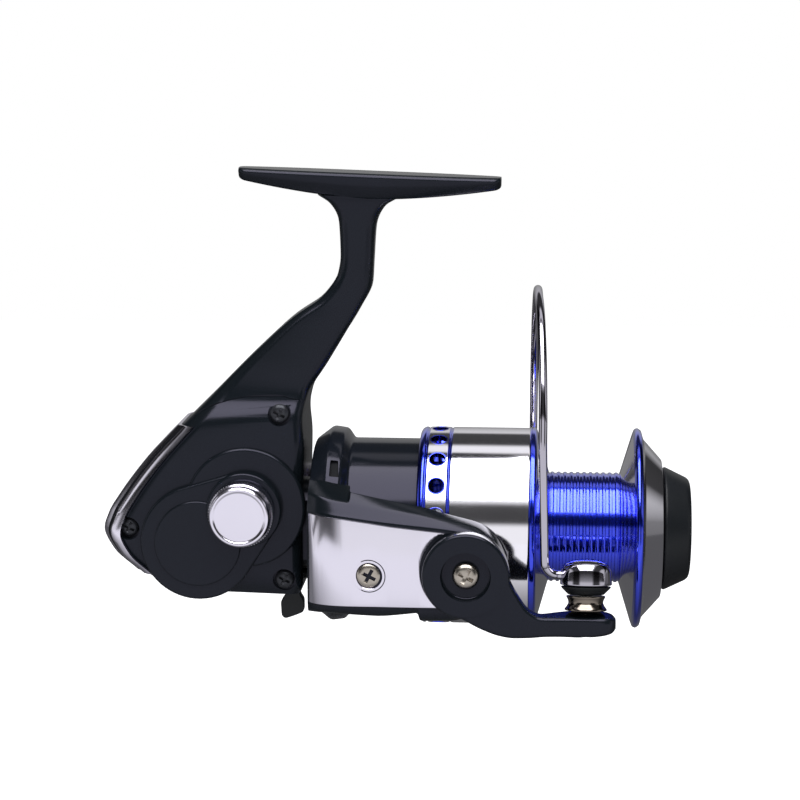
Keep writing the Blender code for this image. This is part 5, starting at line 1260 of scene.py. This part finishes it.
class REEL_OT_drag_knob(Operator):
    """Drag knob with the grip bar between two finger recesses"""

    bl_idname = "reel.drag_knob"
    bl_label = "Drag knob"

    def execute(self, context):
        rear, front = KNOB_REAR_X, KNOB_FRONT_X
        outline = [(front, 0), (front, 11.9), (front - 0.3, 12.7), (front - 0.9, 13.3),
                   (rear + 1.2, 15.7), (rear + 0.5, 16.0), (rear, 15.5),
                   (rear, 10.9), (67.6, 10.5), (67.6, 2.25), (front - 2.0, 2.25), (front - 2.0, 0)]
        knob = turned("knob_body", rounded(outline, 0.5, 4), ON_SPOOL, 160)
        for side in (1.0, -1.0):
            chord = rounded([(side * a, b) for a, b in arc(0, 0, 10.4, -58, 58, 20)], 1.2, 4,
                            closed=True)
            carve(knob, slab("finger", chord, front - 3.6, front + 2.0, 0.0, ON_SPOOL, 1))
        soften(knob, 0.4, 3, 50.0)
        finish(knob, material(satin_plastic), "drag_knob", "knob_black", "drag_knob", angle=30)
        return {"FINISHED"}


# ------------------------------------------------------------------ handle

class REEL_OT_handle(Operator):
    """Crank arm, the handle pin, the knob and its end cap"""

    bl_idname = "reel.handle"
    bl_label = "Crank and knob"

    def execute(self, context):
        inner, outer = CRANK_HUB_INNER, CRANK_HUB_INNER + 9.0
        hub = drum("crank_hub", inner, outer, 6.4, ON_CRANK, 0.7)
        length = math.hypot(HANDLE.x - CRANK.x, HANDLE.z - CRANK.z)
        slope = math.atan2(HANDLE.z - CRANK.z, HANDLE.x - CRANK.x)
        start, mid = outer - 3.4, CRANK_ARM_OUTER - 2.5
        rows = [(0.0, start, 5.6, 3.2), (6.0, start + 1.2, 5.4, 3.0),
                (11.0, (start + mid) / 2, 5.0, 2.8), (16.0, mid - 1.0, 4.8, 2.6),
                (21.0, mid, 4.7, 2.4), (40.0, mid, 4.5, 2.3), (length - 4.0, mid, 4.8, 2.4),
                (length + 2.5, mid, 4.6, 2.4), (length + 5.0, mid, 3.0, 2.0),
                (length + 5.6, mid, 1.8, 1.4)]
        turn = at(CRANK.x, 0, CRANK.z, Matrix.Rotation(-slope, 4, "Y"))
        rings = []
        for radius, y, high, thick in eased(rows, 5):
            profile = [(-high, -thick), (high, -thick), (high, thick), (-high, thick)]
            rings.append([(radius, y + dy, dz) for dz, dy in
                          rounded(profile, min(1.6, thick * 0.8), 5, closed=True)])
        join(hub, skin("arm_bar", rings, turn))
        carve(hub, drum("pin_hole", 30, 60, 2.75, ON_HANDLE, steps=48))
        finish(hub, material(plated_silver), "crank", "plate_silver", "crank_arm")

        head, end = reach("handle_pin", 1, 0), reach("handle_pin", 1, 1)
        pin = turned("knob_pin", rounded([(head, 0), (head, 3.9), (head + 1.0, 3.9),
                                          (head + 1.0, 2.5), (end, 2.5), (end, 0)], 0.3, 3),
                     ON_HANDLE, 64)
        finish(pin, material(turned_steel), "crank", "steel", "handle_pin")

        low, high = reach("handle_knob", 1, 0), reach("handle_knob", 1, 1)
        swell = ((0.12, 6.9), (0.25, 8.2), (0.37, 9.4), (0.5, 10.0), (0.63, 10.0), (0.75, 9.7),
                 (0.86, 8.9))
        outline = [(low, 2.75), (low, 4.6), (low + 1.0, 5.4),
                   *[(low + share * (high - low), radius) for share, radius in swell],
                   (high - 1.6, 7.7), (high, 6.0), (high, 4.2), (high - 2.4, 4.2),
                   (high - 2.4, 2.75)]
        knob = turned("grip_knob", rounded(outline, 1.2, 4, closed=True), ON_HANDLE, 128)
        finish(knob, material(grip_rubber), "handle_knob", "grip_rubber", "handle_knob")
        low, high = reach("handle_knob_cap", 1, 0), reach("handle_knob_cap", 1, 1)
        cap = turned("grip_cap", rounded([(low, 0), (low, 3.9), (high - 0.3, 3.9), (high, 3.2),
                                          (high - 0.15, 0)], 0.25, 3), ON_HANDLE, 64)
        finish(cap, material(bright_trim), "handle_knob", "plate_silver", "handle_knob_cap")
        return {"FINISHED"}


class REEL_OT_lever(Operator):
    """Anti-reverse lever under the case"""

    bl_idname = "reel.lever"
    bl_label = "Anti-reverse lever"

    def execute(self, context):
        rear, front = reach("anti_reverse_lever", 0, 0), reach("anti_reverse_lever", 0, 1)
        rod = turned("lever_body", rounded([(-23.4, 0), (-23.4, 1.4), (front, 1.4), (front, 0)],
                                           0.3, 3), at(0, 0, AXIS_Z + LEVER_RISE, ALONG_X), 40)
        tab = [(0.8, 0.0), (4.4, 0.0), (4.6, -5.6), (5.6, -7.0), (5.6, -10.4), (3.4, -11.4),
               (0.6, -12.4), (-0.4, -11.6), (-0.6, -7.6), (0.8, -5.6)]
        outline = rounded([(rear + 0.6 + x, AXIS_Z + LEVER_RISE + up) for x, up in tab], 0.8, 4,
                          closed=True)
        join(rod, side_slab("tab", outline, -1.4, 1.4, 0.35))
        finish(rod, material(satin_plastic), "ar_lever", "knob_black", "anti_reverse_lever")
        return {"FINISHED"}


class REEL_OT_inner_parts(Operator):
    """Materials of the working parts inside the case, rotor and spool"""

    bl_idname = "reel.inner_parts"
    bl_label = "Inner parts"

    finishes = {"steel": turned_steel, "zinc": cast_zinc, "brass": cut_brass,
                "felt": oiled_felt, "chrome": chrome_wire}

    def execute(self, context):
        slots = {row["node"]: row["material_slot"] for row in frame["record"]["subparts"]}
        for name, item in frame["nodes"].items():
            if item.hide_render:
                continue
            if slots[name] not in self.finishes:
                raise RuntimeError("no finish for " + name)
            item.data.materials.clear()
            item.data.materials.append(material(self.finishes[slots[name]]))
        return {"FINISHED"}


# ------------------------------------------------------------------ stage

# Elevation in degrees (0 in front, 90 overhead, 180 behind) and the shade reflected there
REFLECTED_BANDS = ((-180, 0.25), (-120, 0.2), (-90, 0.2), (-70, 0.3), (-50, 1.0), (12, 1.0),
                   (17, 0.06), (36, 0.06), (42, 1.0), (101, 1.0), (103, 0.25), (106, 0.25),
                   (108, 1.0), (118, 1.0), (123, 0.05), (148, 0.06), (153, 0.7), (180, 0.3))

# Share of sideways direction and how much of the bands is seen there
REFLECTED_SIDES = ((0.0, 1.0), (0.42, 1.0), (0.56, 0.08), (0.84, 0.08), (0.92, 0.9), (1.0, 0.9))

FLOOR_Z = -480.0
FLOOR_HALF = 3000.0
PAPER_GLOW = 0.8
FLOOR_SEEN_NEAR, FLOOR_SEEN_FAR = 1.15, 0.12
WORLD_FILL = 0.4


def backdrop_material(name, colour):
    """White paper for the eye; reflections see it bright in front of the reel, dim behind."""
    made = bpy.data.materials.new(name)
    made.use_nodes = True
    tree = made.node_tree
    tree.nodes.clear()
    paper = add(tree, "ShaderNodeBsdfDiffuse", {"Color": colour})
    glow = add(tree, "ShaderNodeEmission", {"Color": colour, "Strength": PAPER_GLOW})
    both = add(tree, "ShaderNodeAddShader", {0: paper.outputs[0], 1: glow.outputs[0]})
    place = add(tree, "ShaderNodeNewGeometry")
    split = add(tree, "ShaderNodeSeparateXYZ", {0: place.outputs["Position"]})
    depth = add(tree, "ShaderNodeMapRange", {"Value": split.outputs["Y"], "From Min": -0.6,
                                             "From Max": 0.1, "To Min": FLOOR_SEEN_NEAR,
                                             "To Max": FLOOR_SEEN_FAR})
    wall = add(tree, "ShaderNodeEmission", {"Color": colour, "Strength": depth.outputs["Result"]})
    path = add(tree, "ShaderNodeLightPath")
    seen = add(tree, "ShaderNodeMixShader", {0: path.outputs["Is Camera Ray"],
                                             1: paper.outputs[0], 2: both.outputs[0]})
    mirrored = add(tree, "ShaderNodeMixShader", {0: path.outputs["Is Glossy Ray"],
                                                 1: seen.outputs[0], 2: wall.outputs[0]})
    add(tree, "ShaderNodeOutputMaterial", {"Surface": mirrored.outputs[0]})
    return made


class REEL_OT_stage(Operator):
    """Floor, world, lamps and camera"""

    bl_idname = "reel.stage"
    bl_label = "Stage"

    def execute(self, context):
        scene = context.scene
        scene.view_settings.view_transform = "Standard"
        self.world(scene)
        self.floor(context)
        # Only lights: the world's front wall stands for it in reflections
        front = self.softbox(context, "front_softbox", (0.05, -1.3, 0.1), 2.0, 1.2, 12.0)
        front.visible_glossy = False
        # Seen in reflections from 43 to 100 degrees above the front
        self.softbox(context, "top_softbox", (0.0, -0.38, 1.05), 1.3, 1.28, 31.0)
        camera = bpy.data.cameras.new("camera")
        camera.lens = 91.8
        camera.sensor_width = 36.0
        camera.clip_start = 0.01
        eye, target = Vector((0.04667, -0.52, 0.03718)), Vector((0.00767, 0.0, -0.05902))
        item = bpy.data.objects.new("camera", camera)
        item.location = eye
        item.rotation_euler = (target - eye).to_track_quat("-Z", "Y").to_euler()
        scene.collection.objects.link(item)
        scene.camera = item
        return {"FINISHED"}

    def world(self, scene):
        """White for the eye; reflections see a front wall, a dark ceiling gap and a white back."""
        world = bpy.data.worlds.new("studio")
        world.use_nodes = True
        tree = world.node_tree
        tree.nodes.clear()
        coords = add(tree, "ShaderNodeTexCoord")
        split = add(tree, "ShaderNodeSeparateXYZ", {0: coords.outputs["Generated"]})
        front = add(tree, "ShaderNodeMath", {0: split.outputs["Y"], 1: -1.0},
                    operation="MULTIPLY")
        angle = add(tree, "ShaderNodeMath", {0: split.outputs["Z"], 1: front.outputs[0]},
                    operation="ARCTAN2")
        turn = add(tree, "ShaderNodeMapRange", {"Value": angle.outputs[0],
                                                "From Min": -math.pi, "From Max": math.pi})
        bands = add(tree, "ShaderNodeValToRGB", {"Fac": turn.outputs["Result"]})
        self.fill_ramp(bands, [((e + 180) / 360, v) for e, v in REFLECTED_BANDS])
        side = add(tree, "ShaderNodeMath", {0: split.outputs["X"]}, operation="ABSOLUTE")
        sides = add(tree, "ShaderNodeValToRGB", {"Fac": side.outputs[0]})
        self.fill_ramp(sides, REFLECTED_SIDES)
        seen_bands = add(tree, "ShaderNodeMath", {0: bands.outputs["Color"],
                                                  1: sides.outputs["Color"]},
                         operation="MULTIPLY")
        path = add(tree, "ShaderNodeLightPath")
        seen = add(tree, "ShaderNodeMath", {0: path.outputs["Is Glossy Ray"],
                                            1: path.outputs["Is Transmission Ray"]},
                   operation="MAXIMUM")
        shown = add(tree, "ShaderNodeMix", {0: seen.outputs[0], 2: WORLD_FILL,
                                            3: seen_bands.outputs[0]}, data_type="FLOAT")
        whole = add(tree, "ShaderNodeMath", {0: shown.outputs[0],
                                             1: path.outputs["Is Camera Ray"]},
                    operation="MAXIMUM")
        light = add(tree, "ShaderNodeBackground", {"Color": (1, 1, 1, 1),
                                                   "Strength": whole.outputs[0]})
        add(tree, "ShaderNodeOutputWorld", {"Surface": light.outputs[0]})
        scene.world = world

    @staticmethod
    def fill_ramp(node, stops):
        """Sets a ramp's stops to (place, shade) pairs."""
        elements = node.color_ramp.elements
        while len(elements) < len(stops):
            elements.new(0.5)
        for element, (place, shade) in zip(elements, stops):
            element.position = place
            element.color = (shade, shade, shade, 1.0)

    @staticmethod
    def floor(context):
        """Pale floor below the reel, far enough for a soft shadow."""
        low, far = FLOOR_Z * MM, FLOOR_HALF * MM
        mesh = bpy.data.meshes.new("floor")
        mesh.from_pydata([(-far, -far, low), (far, -far, low), (far, far, low),
                          (-far, far, low)], [], [(0, 1, 2, 3)])
        mesh.materials.append(backdrop_material("white_paper", linear("#f4f4f6")))
        item = bpy.data.objects.new("floor", mesh)
        context.scene.collection.objects.link(item)

    @staticmethod
    def softbox(context, name, place, width, height, power):
        """A rectangular lamp facing the reel's rotor."""
        lamp = bpy.data.lights.new(name, "AREA")
        lamp.shape = "RECTANGLE"
        lamp.size, lamp.size_y = width, height
        lamp.energy = power
        item = bpy.data.objects.new(name, lamp)
        item.location = place
        facing = Vector((0.0, 0.0, AXIS_Z * MM)) - Vector(place)
        item.rotation_euler = facing.to_track_quat("-Z", "Y").to_euler()
        item.visible_camera = False
        context.scene.collection.objects.link(item)
        return item


# ------------------------------------------------------------------ panel

OPERATORS = (REEL_OT_case, REEL_OT_cap, REEL_OT_rotor, REEL_OT_plates, REEL_OT_bail,
             REEL_OT_roller, REEL_OT_spool, REEL_OT_drag_knob, REEL_OT_handle, REEL_OT_lever,
             REEL_OT_inner_parts, REEL_OT_stage)


class REEL_PT_sidebar(Panel):
    """Settings and steps of the reel"""

    bl_label = "Spinning Reel"
    bl_idname = "REEL_PT_sidebar"
    bl_space_type = "VIEW_3D"
    bl_region_type = "UI"
    bl_category = "Reel"

    def draw(self, context):
        layout = self.layout
        for group in (context.scene.reel_look, context.scene.reel_sizes):
            for label in group.__annotations__:
                layout.prop(group, label)
        for operator in OPERATORS:
            layout.operator(operator.bl_idname)


CLASSES = (ReelLook, ReelSizes, *OPERATORS, REEL_PT_sidebar)
TREES = {}


def register():
    for item in CLASSES:
        bpy.utils.register_class(item)
    bpy.types.Scene.reel_look = PointerProperty(type=ReelLook)
    bpy.types.Scene.reel_sizes = PointerProperty(type=ReelSizes)


def unregister():
    del bpy.types.Scene.reel_sizes
    del bpy.types.Scene.reel_look
    for item in reversed(CLASSES):
        bpy.utils.unregister_class(item)


def main():
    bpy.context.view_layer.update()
    register()
    TREES.update(ring=ring_tree(), row=row_tree(), places=places_tree())
    for operator in OPERATORS:
        group, step = operator.bl_idname.split(".")
        getattr(getattr(bpy.ops, group), step)()


if __name__ == "__main__":
    main()
